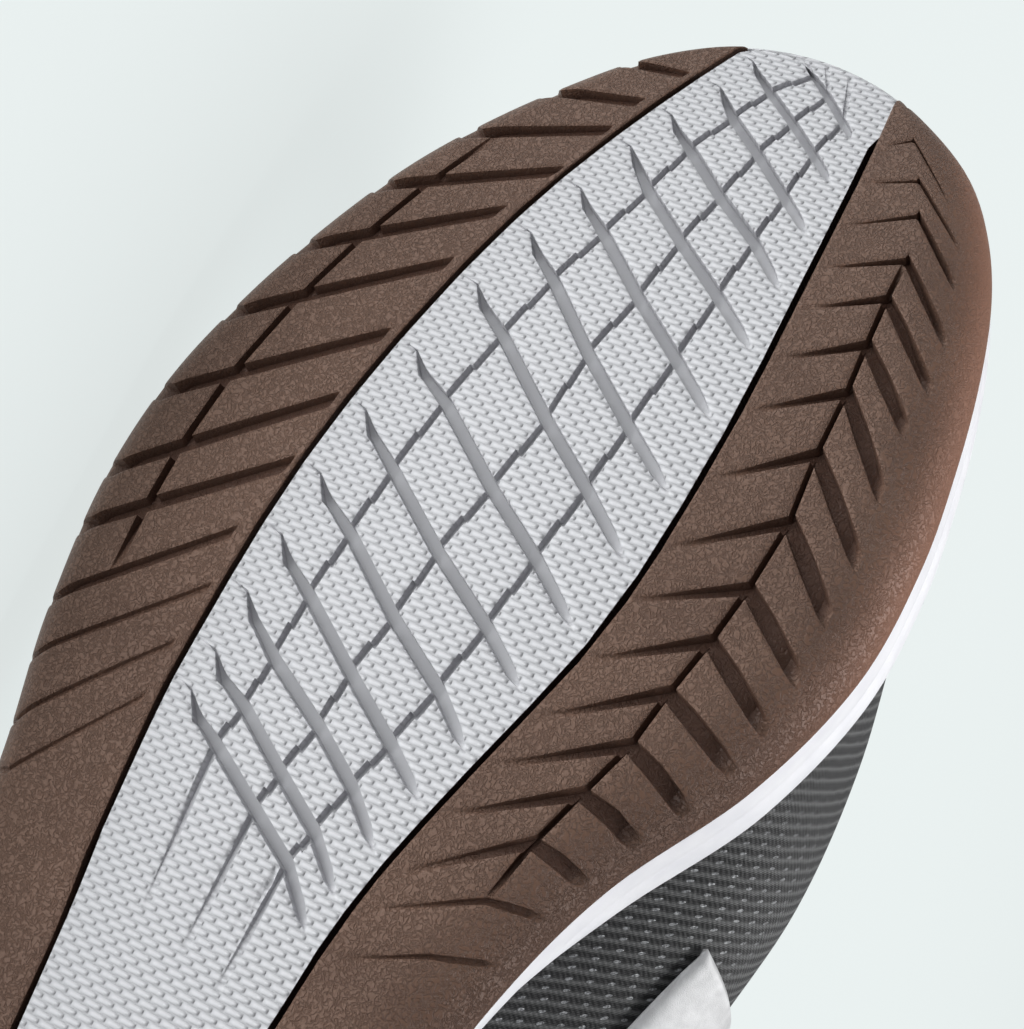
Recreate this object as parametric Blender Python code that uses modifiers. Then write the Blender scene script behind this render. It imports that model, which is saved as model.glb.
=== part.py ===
"""Indoor soccer shoe for the right foot, lying on its outer side. Metres, +Z up.

The shoe is worked out in its own frame: x from the heel's back to the toe, y towards the inner side of
the foot, z up from the ground. One empty then lays it down, on the sole's edge and the upper's bulge.
Places round the shoe are given by their turn: 0 degrees at the toe tip, 180 at the back of the heel,
positive along the inner side and negative along the outer side.
"""

import bmesh
import bpy
import numpy as np
from mathutils import Matrix, Vector

SOLE_LENGTH = 0.292
BALL_WIDTH = 0.111
TOE_SPRING = 0.015  # height of the toe tip's underside above the ground
ARCH_RISE = 0.0025
HEEL_BEVEL = 0.003
HEEL_STACK = 0.027  # ground to foot bed
BALL_STACK = 0.0195
TOE_STACK = 0.0145
TREAD = 0.0045  # gum and inlay
INNER_SHOULDER = 0.010  # how far the gum's rounded edge reaches in under the sole
OUTER_SHOULDER = 0.006
GUM_WRAP = 0.008  # height of the gum up the side
SIDE_STEP = 0.0007
INSTEP_HEIGHT = 0.104  # top of the throat's edges
HEEL_HEIGHT = 0.093  # top of the heel's back
WALL = 0.002
OVERLAY = 0.0011
CUFF = 0.0030
TONGUE = 0.0045
INSOLE = 0.0040
HEEL_TAB = 0.0016
LACE_WIDTH = 0.0060
LACE_THICK = 0.0017
LUG_DEPTH = 0.0024
SLIT = 0.0011  # width of the narrow cuts between lugs
CROSS_SLIT = 0.0015
SLIT_DEPTH = 0.9  # in LUG_DEPTH
DIAMOND_DEPTH = 0.0017
DIAMOND_GROOVE = 0.0022
CROSSING = 0.0013  # width of the inlay's lengthways grooves
TONGUE_CROWN = 0.03  # rise of the tongue between the throat's edges, in BALL_WIDTH
SHOULDER_TILTS = (0.0, 30.0, 60.0, 90.0)  # places round the sole's rounded edge, in degrees
HAIR = 0.000003  # keeps faces of crossing bars apart
FLAT = 0.5  # degrees between faces that count as one plane
LACE_GAP = 0.0006
LACE_STEP = 0.00008  # how much higher each lace strip lies than the last
CLEARANCE = 0.0003
MIDSOLE_SEAT = 0.0005  # over facets of the curved tread
INLAY_GAP = 0.0006
OVERLAY_GAP = 0.00045  # over facets of a curved wall
PANEL_GAP = 0.0007
UPPER_ROWS = 9
STATIONS = 72  # sections round the shoe, the same on every layer so that their facets lie together
GROOVE_PLACES = 6  # places along each long groove of the sole

# Turn in degrees, then the sole's edge on the inner and the outer side, as shares of BALL_WIDTH.
OUTLINE = (
    (0.0, 0.030, 0.030),
    (15.0, 0.205, -0.130),
    (22.5, 0.288, -0.203),
    (30.0, 0.350, -0.265),
    (37.5, 0.402, -0.325),
    (45.0, 0.443, -0.381),
    (52.5, 0.476, -0.425),
    (60.0, 0.500, -0.462),
    (67.5, 0.500, -0.487),
    (75.0, 0.452, -0.484),
    (82.5, 0.362, -0.448),
    (90.0, 0.305, -0.398),
    (105.0, 0.268, -0.352),
    (120.0, 0.290, -0.336),
    (135.0, 0.312, -0.330),
    (150.0, 0.272, -0.285),
    (165.0, 0.156, -0.172),
    (180.0, -0.006, -0.006),
)

# Share of SOLE_LENGTH from the heel, then the inlay's inner and outer edge as shares of BALL_WIDTH.
INLAY_EDGE = (
    (0.14, 0.105, -0.125),
    (0.28, 0.112, -0.135),
    (0.40, 0.110, -0.155),
    (0.50, 0.128, -0.202),
    (0.58, 0.177, -0.220),
    (0.66, 0.228, -0.226),
    (0.76, 0.236, -0.205),
    (0.86, 0.210, -0.162),
    (0.94, 0.180, -0.105),
    (1.00, 0.150, -0.055),
)
INLAY_HEEL = 0.14  # the inlay's round end, as a share of SOLE_LENGTH
INLAY_ROUND = 0.07
GUM_ENDS = (15.0, -10.0)  # turn at the toe end of the inner and of the outer arm

# Turn, then how far the midsole's top edge lies in from the outline, inner and outer, in BALL_WIDTH.
LEAN = (
    (0.0, 0.020, 0.020),
    (45.0, 0.022, 0.020),
    (67.5, 0.024, 0.020),
    (78.0, 0.012, 0.024),
    (90.0, 0.048, 0.030),
    (110.0, 0.050, 0.032),
    (140.0, 0.028, 0.026),
    (180.0, 0.024, 0.024),
)

# The upper's top edge. Turn, x as a share of SOLE_LENGTH, inner and outer y as shares of BALL_WIDTH,
# then height as shares of INSTEP_HEIGHT and HEEL_HEIGHT.
TOP_EDGE = (
    (0.0, 0.655, 0.010, 0.010, 0.690, 0.00),
    (15.0, 0.655, 0.042, -0.022, 0.692, 0.00),
    (30.0, 0.651, 0.078, -0.058, 0.700, 0.00),
    (45.0, 0.638, 0.102, -0.084, 0.720, 0.00),
    (60.0, 0.600, 0.122, -0.106, 0.775, 0.00),
    (75.0, 0.535, 0.142, -0.128, 0.880, 0.00),
    (90.0, 0.450, 0.165, -0.152, 1.000, 0.00),
    (105.0, 0.365, 0.225, -0.215, 0.550, 0.35),
    (120.0, 0.265, 0.270, -0.265, 0.110, 0.69),
    (135.0, 0.170, 0.272, -0.272, 0.000, 0.81),
    (150.0, 0.088, 0.222, -0.226, 0.000, 0.88),
    (165.0, 0.038, 0.122, -0.130, 0.000, 0.97),
    (180.0, 0.020, 0.000, 0.000, 0.000, 1.00),
)

# How far the wall swells past the line from sole to top edge. Turn, inner and outer, in BALL_WIDTH.
SWELL = (
    (0.0, 0.010, 0.010),
    (30.0, 0.015, 0.012),
    (60.0, 0.025, 0.022),
    (75.0, 0.085, 0.030),
    (90.0, 0.185, 0.052),
    (105.0, 0.170, 0.062),
    (120.0, 0.090, 0.055),
    (140.0, 0.050, 0.045),
    (180.0, 0.055, 0.055),
)

# Up the wall from 0 to 1: way in and height on the toe box, way in and height on the sides, swell.
SECTION = (
    (0.000, 0.000, 0.00, 0.00, 0.00, 0.00),
    (0.125, 0.006, 0.17, 0.02, 0.12, 0.55),
    (0.250, 0.050, 0.33, 0.06, 0.24, 0.92),
    (0.375, 0.150, 0.46, 0.14, 0.37, 1.00),
    (0.500, 0.300, 0.58, 0.27, 0.50, 0.90),
    (0.625, 0.480, 0.69, 0.44, 0.63, 0.70),
    (0.750, 0.650, 0.79, 0.62, 0.75, 0.45),
    (0.875, 0.825, 0.90, 0.81, 0.88, 0.20),
    (1.000, 1.000, 1.00, 1.00, 1.00, 0.00),
)

# Inlay grooves that slant across: where each starts at the outer edge, as a share of SOLE_LENGTH.
DIAGONALS = (0.979, 0.955, 0.928, 0.900, 0.866, 0.832, 0.794, 0.750, 0.712, 0.675, 0.640, 0.610, 0.579, 0.555)
DIAGONAL_SLOPE = 0.60  # towards the heel for each step across, behind the ball
DIAGONAL_SLOPE_TOE = 0.78
# Along a slanting groove: share of the inlay's width, width in DIAMOND_GROOVE, depth in DIAMOND_DEPTH.
DIAGONAL_GROOVE = ((0.08, 0.9, 0.50), (0.30, 1.0, 1.00), (0.62, 1.0, 1.00), (0.93, 0.8, 0.35))

# Inlay grooves that run along it: share of its width, front and back end as shares of SOLE_LENGTH.
LENGTHWAYS = ((0.26, 0.955, 0.532), (0.52, 0.932, 0.508), (0.75, 0.912, 0.487))

# Apex of each chevron of the inner arm, as a share of SOLE_LENGTH.
CHEVRONS = (0.957, 0.935, 0.913, 0.889, 0.864, 0.837, 0.808, 0.775, 0.741, 0.708, 0.678, 0.650, 0.623, 0.596,
            0.569)
CHEVRON_SPINE = 0.47  # across the inner arm, from the inlay's edge to the outline
# Along a chevron: back from its apex, across, width, each as a share of the arm, then depth in LUG_DEPTH.
CHEVRON_GROOVE = (
    (0.28, -0.34, 0.074, 0.30),
    (0.00, 0.00, 0.105, 1.00),
    (0.20, 0.20, 0.115, 1.00),
    (0.40, 0.40, 0.084, 0.25),
)

# Grooves across the outer arm: inner end as a share of SOLE_LENGTH, slant towards the heel.
CROSS_CUTS = (
    (0.955, 0.30),
    (0.928, 0.72),
    (0.902, 0.72),
    (0.868, 0.72),
    (0.835, 0.72),
    (0.795, 0.72),
    (0.750, 0.72),
    (0.710, 0.72),
    (0.670, 0.72),
    (0.630, 0.72),
    (0.600, 0.72),
    (0.570, 0.72),
    (0.545, 0.72),
)
# Along such a groove: share of the arm's width, width in SLIT, depth in LUG_DEPTH.
CROSS_GROOVE = ((0.16, 1.0, 0.4), (0.55, 1.5, 0.8), (0.98, 1.7, 1.0))
CROSS_SPINE = 0.60
CROSS_SPINE_BACK = 0.050  # the slit's places lie behind the grooves' inner ends, in SOLE_LENGTH

# Up the midsole's wall round its step: share of the height, share of the lean, way in in SIDE_STEP.
MIDSOLE_STEP = ((0.45, 0.22, 0.0), (0.50, 0.30, 1.0), (0.62, 0.42, 1.0), (0.67, 0.45, 0.2))

# Plain panels on the sides: side, turn of the front edge, row of the low edge up the upper's wall.
SIDE_PANELS = (("side_panel_inner", 1.0, 80.0, 0.14), ("side_panel_outer", -1.0, 70.0, 0.10))

EYELETS = (44.0, 57.0, 67.0, 76.0, 84.0)  # turn of each pair of eyelets
# Along a lace from eyelet to eyelet: share of the way, row of the upper's wall.
LACE_PATH = ((0.00, 0.91), (0.12, 0.95), (0.24, 1.00), (0.76, 1.00), (0.88, 0.95), (1.00, 0.91))

MATERIALS = {
    "gum": ((0.205, 0.115, 0.080), 0.55),
    "inlay": ((0.680, 0.690, 0.710), 0.50),
    "foam": ((0.780, 0.790, 0.830), 0.55),
    "mesh": ((0.020, 0.020, 0.022), 0.85),
    "lining": ((0.030, 0.030, 0.032), 0.90),
    "overlay": ((0.026, 0.026, 0.028), 0.45),
    "panel": ((0.800, 0.800, 0.810), 0.40),
    "cord": ((0.750, 0.750, 0.760), 0.80),
}


def through(xs, ys, x):
    """Smooth curve through the rows: cubic pieces whose slopes are those of the neighbours' chord."""
    xs, ys, x = np.asarray(xs, float), np.asarray(ys, float), np.asarray(x, float)
    slope = np.gradient(ys, xs)
    k = np.clip(np.searchsorted(xs, x, side="right") - 1, 0, len(xs) - 2)
    h = xs[k + 1] - xs[k]
    s = np.clip((x - xs[k]) / h, 0.0, 1.0)
    return (
        (2 * s**3 - 3 * s**2 + 1) * ys[k]
        + (s**3 - 2 * s**2 + s) * h * slope[k]
        + (3 * s**2 - 2 * s**3) * ys[k + 1]
        + (s**3 - s**2) * h * slope[k + 1]
    )


def column(table, number):
    return [row[number] for row in table]


def round_the_shoe(table, inner, outer, turn):
    """A table's value at signed turns, smooth across the toe tip and the back of the heel."""
    rows = [(-row[0], row[outer]) for row in reversed(table[1:])] + [(row[0], row[inner]) for row in table]
    before = [(turn_at - 360.0, value) for turn_at, value in rows[-4:-1]]
    after = [(turn_at + 360.0, value) for turn_at, value in rows[1:4]]
    rows = before + rows + after
    return through(column(rows, 0), column(rows, 1), turn)


def smooth(low, high, x):
    s = np.clip((np.asarray(x, float) - low) / (high - low), 0.0, 1.0)
    return s * s * (3 - 2 * s)


def ground(x):
    """Height of the sole's line: flat, with toe spring and a low arch."""
    share = np.asarray(x, float) / SOLE_LENGTH
    spring = TOE_SPRING * np.clip((share - 0.66) / 0.34, 0.0, None) ** 2
    arch = ARCH_RISE * smooth(0.24, 0.36, share) * (1 - smooth(0.44, 0.56, share))
    return spring + arch


def tread(x):
    """Height of the tread: the sole's line with a bevelled heel."""
    return ground(x) + HEEL_BEVEL * np.clip(1 - np.asarray(x, float) / SOLE_LENGTH / 0.08, 0.0, None) ** 2


def foot_bed(x):
    share = np.asarray(x, float) / SOLE_LENGTH
    spring = TOE_SPRING * np.clip((share - 0.66) / 0.34, 0.0, None) ** 2
    rows = ((0.0, HEEL_STACK), (0.22, HEEL_STACK), (0.64, BALL_STACK), (0.82, BALL_STACK), (1.0, TOE_STACK))
    return spring + through(column(rows, 0), column(rows, 1), share)


def edge(turn, inset=0.0):
    """Point of the sole's outline moved in by inset, and the outward direction there, in plan."""
    turn = np.asarray(turn, float)

    def raw(at):
        x = SOLE_LENGTH * (0.5 + 0.5 * np.cos(np.radians(at)))
        return x, BALL_WIDTH * round_the_shoe(OUTLINE, 1, 2, at)

    (x, y), (x0, y0), (x1, y1) = raw(turn), raw(turn - 1.0), raw(turn + 1.0)
    length = np.hypot(x1 - x0, y1 - y0)
    nx, ny = (y1 - y0) / length, (x0 - x1) / length
    return x - nx * inset, y - ny * inset, nx, ny


def outline_at(x, side):
    """The outline's y at x on the inner (1) or outer (-1) side."""
    turn = side * np.degrees(np.arccos(np.clip(2 * np.asarray(x, float) / SOLE_LENGTH - 1, -1, 1)))
    return edge(turn)[1]


def inlay_at(x, side):
    """The inlay's y at x on the inner (1) or outer (-1) side, with its round end at the heel."""
    share = np.asarray(x, float) / SOLE_LENGTH
    y = BALL_WIDTH * through(column(INLAY_EDGE, 0), column(INLAY_EDGE, 1 if side > 0 else 2), share)
    tip = np.clip((INLAY_HEEL + INLAY_ROUND - share) / INLAY_ROUND, 0.0, 1.0)
    return y * np.sqrt(1 - tip**2)


def shoulder(turn):
    """Width of the rounded edge: widest along the inner side, narrow round the toe."""
    inner = smooth(0, 40, turn) * (1 - smooth(110, 160, turn))
    width = OUTER_SHOULDER + (INNER_SHOULDER - OUTER_SHOULDER) * inner
    return width * (0.4 + 0.6 * smooth(8, 35, np.abs(turn)))


def gum_rise(inset, width):
    """Height of the rounded edge above the tread: a quarter ellipse."""
    tilt = np.clip(1 - inset / width, 0.0, 1.0)
    return GUM_WRAP * (1 - np.sqrt(1 - tilt**2))


def underside(x, y):
    """Height of the sole's underside at a place in plan, the rounded edge included."""
    turns = np.arange(-180.0, 180.0, 2.0)
    ex, ey, _, _ = edge(turns)
    away = np.hypot(np.asarray(x)[..., None] - ex, np.asarray(y)[..., None] - ey)
    nearest = away.argmin(axis=-1)
    return tread(x) + gum_rise(away.min(axis=-1), shoulder(turns[nearest]))


def inlay_ring(turn, gap):
    """The inlay's edge at each turn, moved outwards by gap."""
    x = edge(turn)[0] + INLAY_HEEL * SOLE_LENGTH * smooth(90, 180, np.abs(turn))
    side = np.where(turn >= 0, 1.0, -1.0)
    y = np.where(turn >= 0, inlay_at(x, 1), inlay_at(x, -1))
    back = smooth(150, 180, np.abs(turn))
    return x - gap * back, y + side * gap * (1 - back)


def up_the_wall(number, t):
    return through(column(SECTION, 0), column(SECTION, number), t)


def shell(turn, t, out=0.0):
    """Outer face of the upper: t is 0 at the sole and 1 at the top edge; out moves it along its normal."""
    turn, t = np.broadcast_arrays(np.asarray(turn, float), np.asarray(t, float))

    def raw(turn, t):
        turn = (turn + 180.0) % 360.0 - 180.0
        lean = BALL_WIDTH * round_the_shoe(LEAN, 1, 2, turn) + WALL / 2
        bx, by, nx, ny = edge(turn, lean)
        bz = foot_bed(bx) + CLEARANCE
        side = smooth(15, 70, np.abs(turn))
        way_in = (1 - side) * up_the_wall(1, t) + side * up_the_wall(3, t)
        height = (1 - side) * up_the_wall(2, t) + side * up_the_wall(4, t)
        swell = BALL_WIDTH * round_the_shoe(SWELL, 1, 2, turn) * up_the_wall(5, t)
        tx = SOLE_LENGTH * round_the_shoe(TOP_EDGE, 1, 1, turn)
        ty = BALL_WIDTH * round_the_shoe(TOP_EDGE, 2, 3, turn)
        tz = INSTEP_HEIGHT * round_the_shoe(TOP_EDGE, 4, 4, turn)
        tz = tz + HEEL_HEIGHT * round_the_shoe(TOP_EDGE, 5, 5, turn)
        x = bx + (tx - bx) * way_in + nx * swell
        y = by + (ty - by) * way_in + ny * swell
        return np.stack([x, y, bz + (tz - bz) * height], axis=-1)

    place = raw(turn, t)
    if np.all(out == 0.0):
        return place
    along = raw(turn + 1.0, t) - raw(turn - 1.0, t)
    low, high = np.clip(t - 0.01, 0, 1), np.clip(t + 0.01, 0, 1)
    up = raw(turn, high) - raw(turn, low)
    normal = np.cross(along, up)
    normal /= np.linalg.norm(normal, axis=-1, keepdims=True)
    return place + normal * np.asarray(out)[..., None]


def add_object(name, points, faces, material, smooth_angle=40.0):
    mesh = bpy.data.meshes.new(name)
    mesh.from_pydata([tuple(map(float, p)) for p in points], [], faces)
    bm = bmesh.new()
    bm.from_mesh(mesh)
    bmesh.ops.remove_doubles(bm, verts=bm.verts, dist=1e-6)
    bmesh.ops.recalc_face_normals(bm, faces=bm.faces)
    bm.to_mesh(mesh)
    bm.free()
    mesh.shade_smooth()
    mesh.set_sharp_from_angle(angle=np.radians(smooth_angle))
    made = bpy.data.objects.new(name, mesh)
    (parts if material else cutters).objects.link(made)
    if material:
        mesh.materials.append(material_named(material))
    else:
        made.hide_render = True
        made.display_type = "WIRE"
    return made


def material_named(name):
    found = bpy.data.materials.get(name)
    if found:
        return found
    colour, roughness = MATERIALS[name]
    made = bpy.data.materials.new(name)
    made.use_nodes = True
    shader = made.node_tree.nodes["Principled BSDF"]
    shader.inputs["Base Color"].default_value = (*colour, 1.0)
    shader.inputs["Roughness"].default_value = roughness
    shader.inputs["Metallic"].default_value = 0.0
    return made


def grid_faces(rows, columns, wrap):
    """Quads of a grid of points in row order; wrap joins the last column to the first."""
    faces = []
    for r in range(rows - 1):
        here, above = r * columns, (r + 1) * columns
        for c in range(columns if wrap else columns - 1):
            ahead = (c + 1) % columns
            faces.append((here + c, here + ahead, above + ahead, above + c))
    return faces


def ladder(first, count):
    """Quads across a closed loop, from one side to the other, with both ends pointed."""
    index = lambda k: first + k % count
    faces = [(index(0), index(1), index(-1))]
    k = 1
    while k < count - k - 1:
        faces.append((index(k), index(k + 1), index(-k - 1), index(-k)))
        k += 1
    return [tuple(dict.fromkeys(face)) for face in faces]


def lofted_slab(name, loops, material, smooth_angle=40.0):
    """A closed solid through stacked loops whose first point is the toe tip, with laddered ends."""
    rows, count = len(loops), len(loops[0])
    points = np.concatenate(loops)
    faces = grid_faces(rows, count, True) + ladder(0, count) + ladder((rows - 1) * count, count)
    return add_object(name, points, faces, material, smooth_angle)


def turns_all_round(count):
    """Turns of a closed loop from the toe tip along the inner side and back along the outer side."""
    return (np.arange(count) * 360.0 / count + 180.0) % 360.0 - 180.0


def groove(path, widths, depths):
    """Points and faces of a cutter along a path in plan: its top follows the underside at the given depth."""
    path, widths, depths = np.asarray(path, float), np.asarray(widths, float), np.asarray(depths, float)
    step = np.gradient(path, axis=0)
    step /= np.linalg.norm(step, axis=1, keepdims=True)
    across = np.stack([-step[:, 1], step[:, 0]], axis=1) * widths[:, None] / 2
    left, right = path + across, path - across
    top = underside(path[:, 0], path[:, 1]) + depths
    low = ground(path[:, 0]) - TREAD
    corners = ((left, low), (right, low), (right, top), (left, top))
    return section_sweep(np.stack([np.column_stack([side, height]) for side, height in corners], axis=1))


def section_sweep(corners):
    """Points and faces of a bar with capped ends, from four corners at each of its places."""
    points = corners.reshape(-1, 3)
    end = len(points) - 4
    return points, grid_faces(len(corners), 4, True) + [(3, 2, 1, 0), (end, end + 1, end + 2, end + 3)]


def combine_with(piece, bars, operation):
    """Cuts the bars out of the piece or joins them to it, each a hair lower than the last."""
    points, faces, count = [], [], 0
    for number, (places, quads) in enumerate(bars):
        points.append(places - np.array([0.0, 0.0, HAIR * number]))
        faces += [tuple(count + corner for corner in quad) for quad in quads]
        count += len(places)
    tool = add_object(piece.name + "_cutter", np.concatenate(points), faces, None)
    made = piece.modifiers.new("bars", "BOOLEAN")
    made.operation = operation
    made.solver = "MANIFOLD"
    made.object = tool


def merge_flat_faces(piece, angle):
    """Joins neighbouring faces that lie in one plane, which also drops the slivers left by the cuts."""
    flat = piece.modifiers.new("flat_faces", "DECIMATE")
    flat.decimate_type = "DISSOLVE"
    flat.angle_limit = np.radians(angle)


def even_triangles(piece):
    corners = piece.modifiers.new("corners", "TRIANGULATE")
    corners.ngon_method = "BEAUTY"
    corners.quad_method = "BEAUTY"


def arm_place(x, side, share):
    """A place across an arm of the gum: share 0 at the inlay, 1 at the outline."""
    near, far = inlay_at(x, side), outline_at(x, side)
    return near + (far - near) * share


def sole_profile(turn):
    """Insets and heights of the gum's section from the tread's edge to its inner top edge."""
    width = shoulder(turn)
    tilts = np.radians(SHOULDER_TILTS)
    return [width * (1 - np.sin(a)) for a in tilts], [GUM_WRAP * (1 - np.cos(a)) for a in tilts]


def gum_horseshoe():
    """Brown gum: a section swept from the inner arm's toe end round the heel to the outer arm's."""
    turn = turns_all_round(STATIONS)
    turn = turn[(turn >= GUM_ENDS[0]) | (turn <= GUM_ENDS[1])]
    insets, rises = sole_profile(turn)
    ix, iy = inlay_ring(turn, INLAY_GAP / 2)
    columns = []

    def put(x, y, above):
        columns.append(np.column_stack([x, y, above]))

    put(ix, iy, tread(ix))
    sx, sy = edge(turn, insets[0])[:2]
    mx, my = (ix + sx) / 2, (iy + sy) / 2
    put(mx, my, tread(mx))
    for inset, rise in zip(insets, rises):
        x, y = edge(turn, inset)[:2]
        put(x, y, tread(x) + rise)
    x, y = edge(turn, SIDE_STEP * 2)[:2]
    put(x, y, tread(x) + GUM_WRAP + SIDE_STEP)
    put(sx, sy, ground(sx) + TREAD)
    put(ix, iy, ground(ix) + TREAD)
    points = np.stack(columns, axis=1).reshape(-1, 3)
    ring, rows = len(columns), len(turn)
    faces = grid_faces(rows, ring, True)
    faces += [tuple(range(ring)), tuple((rows - 1) * ring + k for k in range(ring))]
    gum = add_object("outsole_gum", points, faces, "gum", 35.0)
    combine_with(gum, chevron_cutters() + cross_cutters(), "DIFFERENCE")
    merge_flat_faces(gum, FLAT)
    even_triangles(gum)


def slit(front, back, side, share, wide):
    """A narrow groove along an arm, at a share of its width; its ends are shares of SOLE_LENGTH."""
    x = np.linspace(front, back, GROOVE_PLACES) * SOLE_LENGTH
    path = np.column_stack([x, arm_place(x, side, share)])
    return groove(path, np.full(len(x), wide), np.full(len(x), LUG_DEPTH * SLIT_DEPTH))


def chevron_cutters():
    """V grooves of the inner arm, with a slit along the spine from one to the next."""
    tools = []
    back, across, wide, deep = np.array(CHEVRON_GROOVE).T
    for share in CHEVRONS:
        x = share * SOLE_LENGTH
        y = arm_place(x, 1, CHEVRON_SPINE)
        arm = outline_at(x, 1) - inlay_at(x, 1)
        path = np.column_stack([x - back * arm, y + across * arm])
        tools.append(groove(path, wide * arm, deep * LUG_DEPTH))
    tools.append(slit(CHEVRONS[0], CHEVRONS[-1], 1, CHEVRON_SPINE, SLIT))
    return tools


def cross_cutters():
    """Slanted grooves of the outer arm from its plain rim to the sole's edge, and their slit."""
    tools = []
    run, wide, deep = np.array(CROSS_GROOVE).T
    for share, slant in CROSS_CUTS:
        x = share * SOLE_LENGTH
        arm = abs(outline_at(x, -1) - inlay_at(x, -1))
        path = [(x - slant * arm * (s - run[0]), arm_place(x, -1, s)) for s in run]
        tools.append(groove(path, wide * SLIT, deep * LUG_DEPTH))
    front, back = CROSS_CUTS[2][0] - CROSS_SPINE_BACK, CROSS_CUTS[-2][0] - CROSS_SPINE_BACK
    tools.append(slit(front, back, -1, CROSS_SPINE, CROSS_SLIT))
    return tools


def inlay():
    """White inlay between the arms; at the toe it widens to the outline and follows its rounded edge."""
    turn = turns_all_round(STATIONS)
    front = (turn < GUM_ENDS[0]) & (turn > GUM_ENDS[1])
    insets, rises = sole_profile(turn)
    ix, iy = inlay_ring(turn, -INLAY_GAP / 2)
    loops = []
    for number, (inset, rise) in enumerate(zip(insets, rises)):
        fx, fy = edge(turn, inset)[:2]
        x, y = np.where(front, fx, ix), np.where(front, fy, iy)
        side_height = TREAD * number / len(insets)
        loops.append(np.column_stack([x, y, ground(x) + np.where(front, rise, side_height)]))
    fx, fy = edge(turn, insets[0])[:2]
    x, y = np.where(front, fx, ix), np.where(front, fy, iy)
    rim_x, rim_y = edge(turn, SIDE_STEP * 2)[:2]
    rx, ry = np.where(front, rim_x, ix), np.where(front, rim_y, iy)
    rim_height = np.where(front, GUM_WRAP + SIDE_STEP, TREAD * 0.9)
    loops.append(np.column_stack([rx, ry, ground(rx) + rim_height]))
    loops.append(np.column_stack([x, y, ground(x) + TREAD]))
    piece = lofted_slab("outsole_centre", loops, "inlay", 35.0)
    combine_with(piece, diamond_cutters(), "DIFFERENCE")
    merge_flat_faces(piece, FLAT)
    even_triangles(piece)


def diamond_cutters():
    """Slanting grooves and three lengthways ones, which leave diamonds between them."""
    tools = []
    across, wide, deep = np.array(DIAGONAL_GROOVE).T
    for share in DIAGONALS:
        x = share * SOLE_LENGTH
        slope = DIAGONAL_SLOPE + (DIAGONAL_SLOPE_TOE - DIAGONAL_SLOPE) * smooth(0.60, 0.85, share)
        low, high = inlay_at(x, -1), inlay_at(x, 1)
        xs = x - slope * (high - low) * (across - across[0])
        ys = inlay_at(xs, -1) + (inlay_at(xs, 1) - inlay_at(xs, -1)) * across
        tools.append(groove(np.column_stack([xs, ys]), wide * DIAMOND_GROOVE, deep * DIAMOND_DEPTH))
    for share, front, back in LENGTHWAYS:
        xs = np.linspace(front, back, GROOVE_PLACES) * SOLE_LENGTH
        ys = inlay_at(xs, -1) + (inlay_at(xs, 1) - inlay_at(xs, -1)) * share
        same = np.ones(len(xs))
        tools.append(groove(np.column_stack([xs, ys]), same * CROSSING, same * DIAMOND_DEPTH))
    return tools


def midsole():
    """White layer on the outsole: its wall leans in and has one step, its top is the foot bed."""
    turn = turns_all_round(STATIONS)
    width = shoulder(turn)
    lean = BALL_WIDTH * round_the_shoe(LEAN, 1, 2, turn)
    bed = foot_bed(edge(turn)[0])
    rim = GUM_WRAP + SIDE_STEP + MIDSOLE_SEAT
    loops = []

    def put(inset, height):
        x, y = edge(turn, inset)[:2]
        loops.append(np.column_stack([x, y, height(x)]))

    put(width + MIDSOLE_SEAT, lambda x: ground(x) + TREAD + MIDSOLE_SEAT)
    put(SIDE_STEP * 2 + MIDSOLE_SEAT, lambda x: tread(x) + rim)
    put(SIDE_STEP, lambda x: tread(x) + rim + CLEARANCE)
    for share, lean_share, step in MIDSOLE_STEP:
        low = tread(edge(turn)[0]) + rim
        height = low + (bed - low) * share
        put(SIDE_STEP * (1 + step) + lean * lean_share, lambda x, height=height: height)
    put(SIDE_STEP + lean * 0.9, lambda x: foot_bed(x) - 2 * SIDE_STEP)
    put(lean + SIDE_STEP, foot_bed)
    lofted_slab("midsole", loops, "foam", 35.0)


def insole():
    turn = turns_all_round(STATIONS)
    lean = BALL_WIDTH * round_the_shoe(LEAN, 1, 2, turn) + WALL / 2
    loops = []
    for up in (CLEARANCE, INSOLE):
        x, y = edge(turn, lean + 2.2 * WALL)[:2]
        loops.append(np.column_stack([x, y, foot_bed(x) + up]))
    lofted_slab("insole", loops, "lining")


def solidify(piece, thickness, outwards):
    wall = piece.modifiers.new("wall", "SOLIDIFY")
    wall.thickness = thickness
    wall.offset = 1.0 if outwards else -1.0
    wall.use_even_offset = True
    wall.use_rim = True


def outward(piece):
    """Turns every face so that its normal points away from the shoe's inside."""
    mesh = piece.data
    centre = Vector((SOLE_LENGTH * 0.45, 0.0, HEEL_STACK))
    votes = sum(face.normal.dot(face.center - centre) * face.area for face in mesh.polygons)
    if votes < 0:
        mesh.flip_normals()


def upper():
    turn, t = np.meshgrid(turns_all_round(STATIONS), np.linspace(0.0, 1.0, UPPER_ROWS))
    points = shell(turn, t)
    piece = add_object("upper", points.reshape(-1, 3), grid_faces(UPPER_ROWS, STATIONS, True), "mesh")
    outward(piece)
    solidify(piece, WALL, False)


def patch(name, turns, low, high, rows, material, thickness, gap=OVERLAY_GAP, wrap=False):
    """An overlay cut from the upper's own face, between two edges given as functions of turn."""
    turns = np.asarray(turns, float)
    share = np.linspace(0.0, 1.0, rows)[:, None]
    bottom, top = low(turns), high(turns)
    t = bottom[None, :] + (top - bottom)[None, :] * share
    points = shell(np.broadcast_to(turns, t.shape), t, np.full(t.shape, gap))
    piece = add_object(name, points.reshape(-1, 3), grid_faces(rows, len(turns), wrap), material)
    outward(piece)
    solidify(piece, thickness, True)


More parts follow.
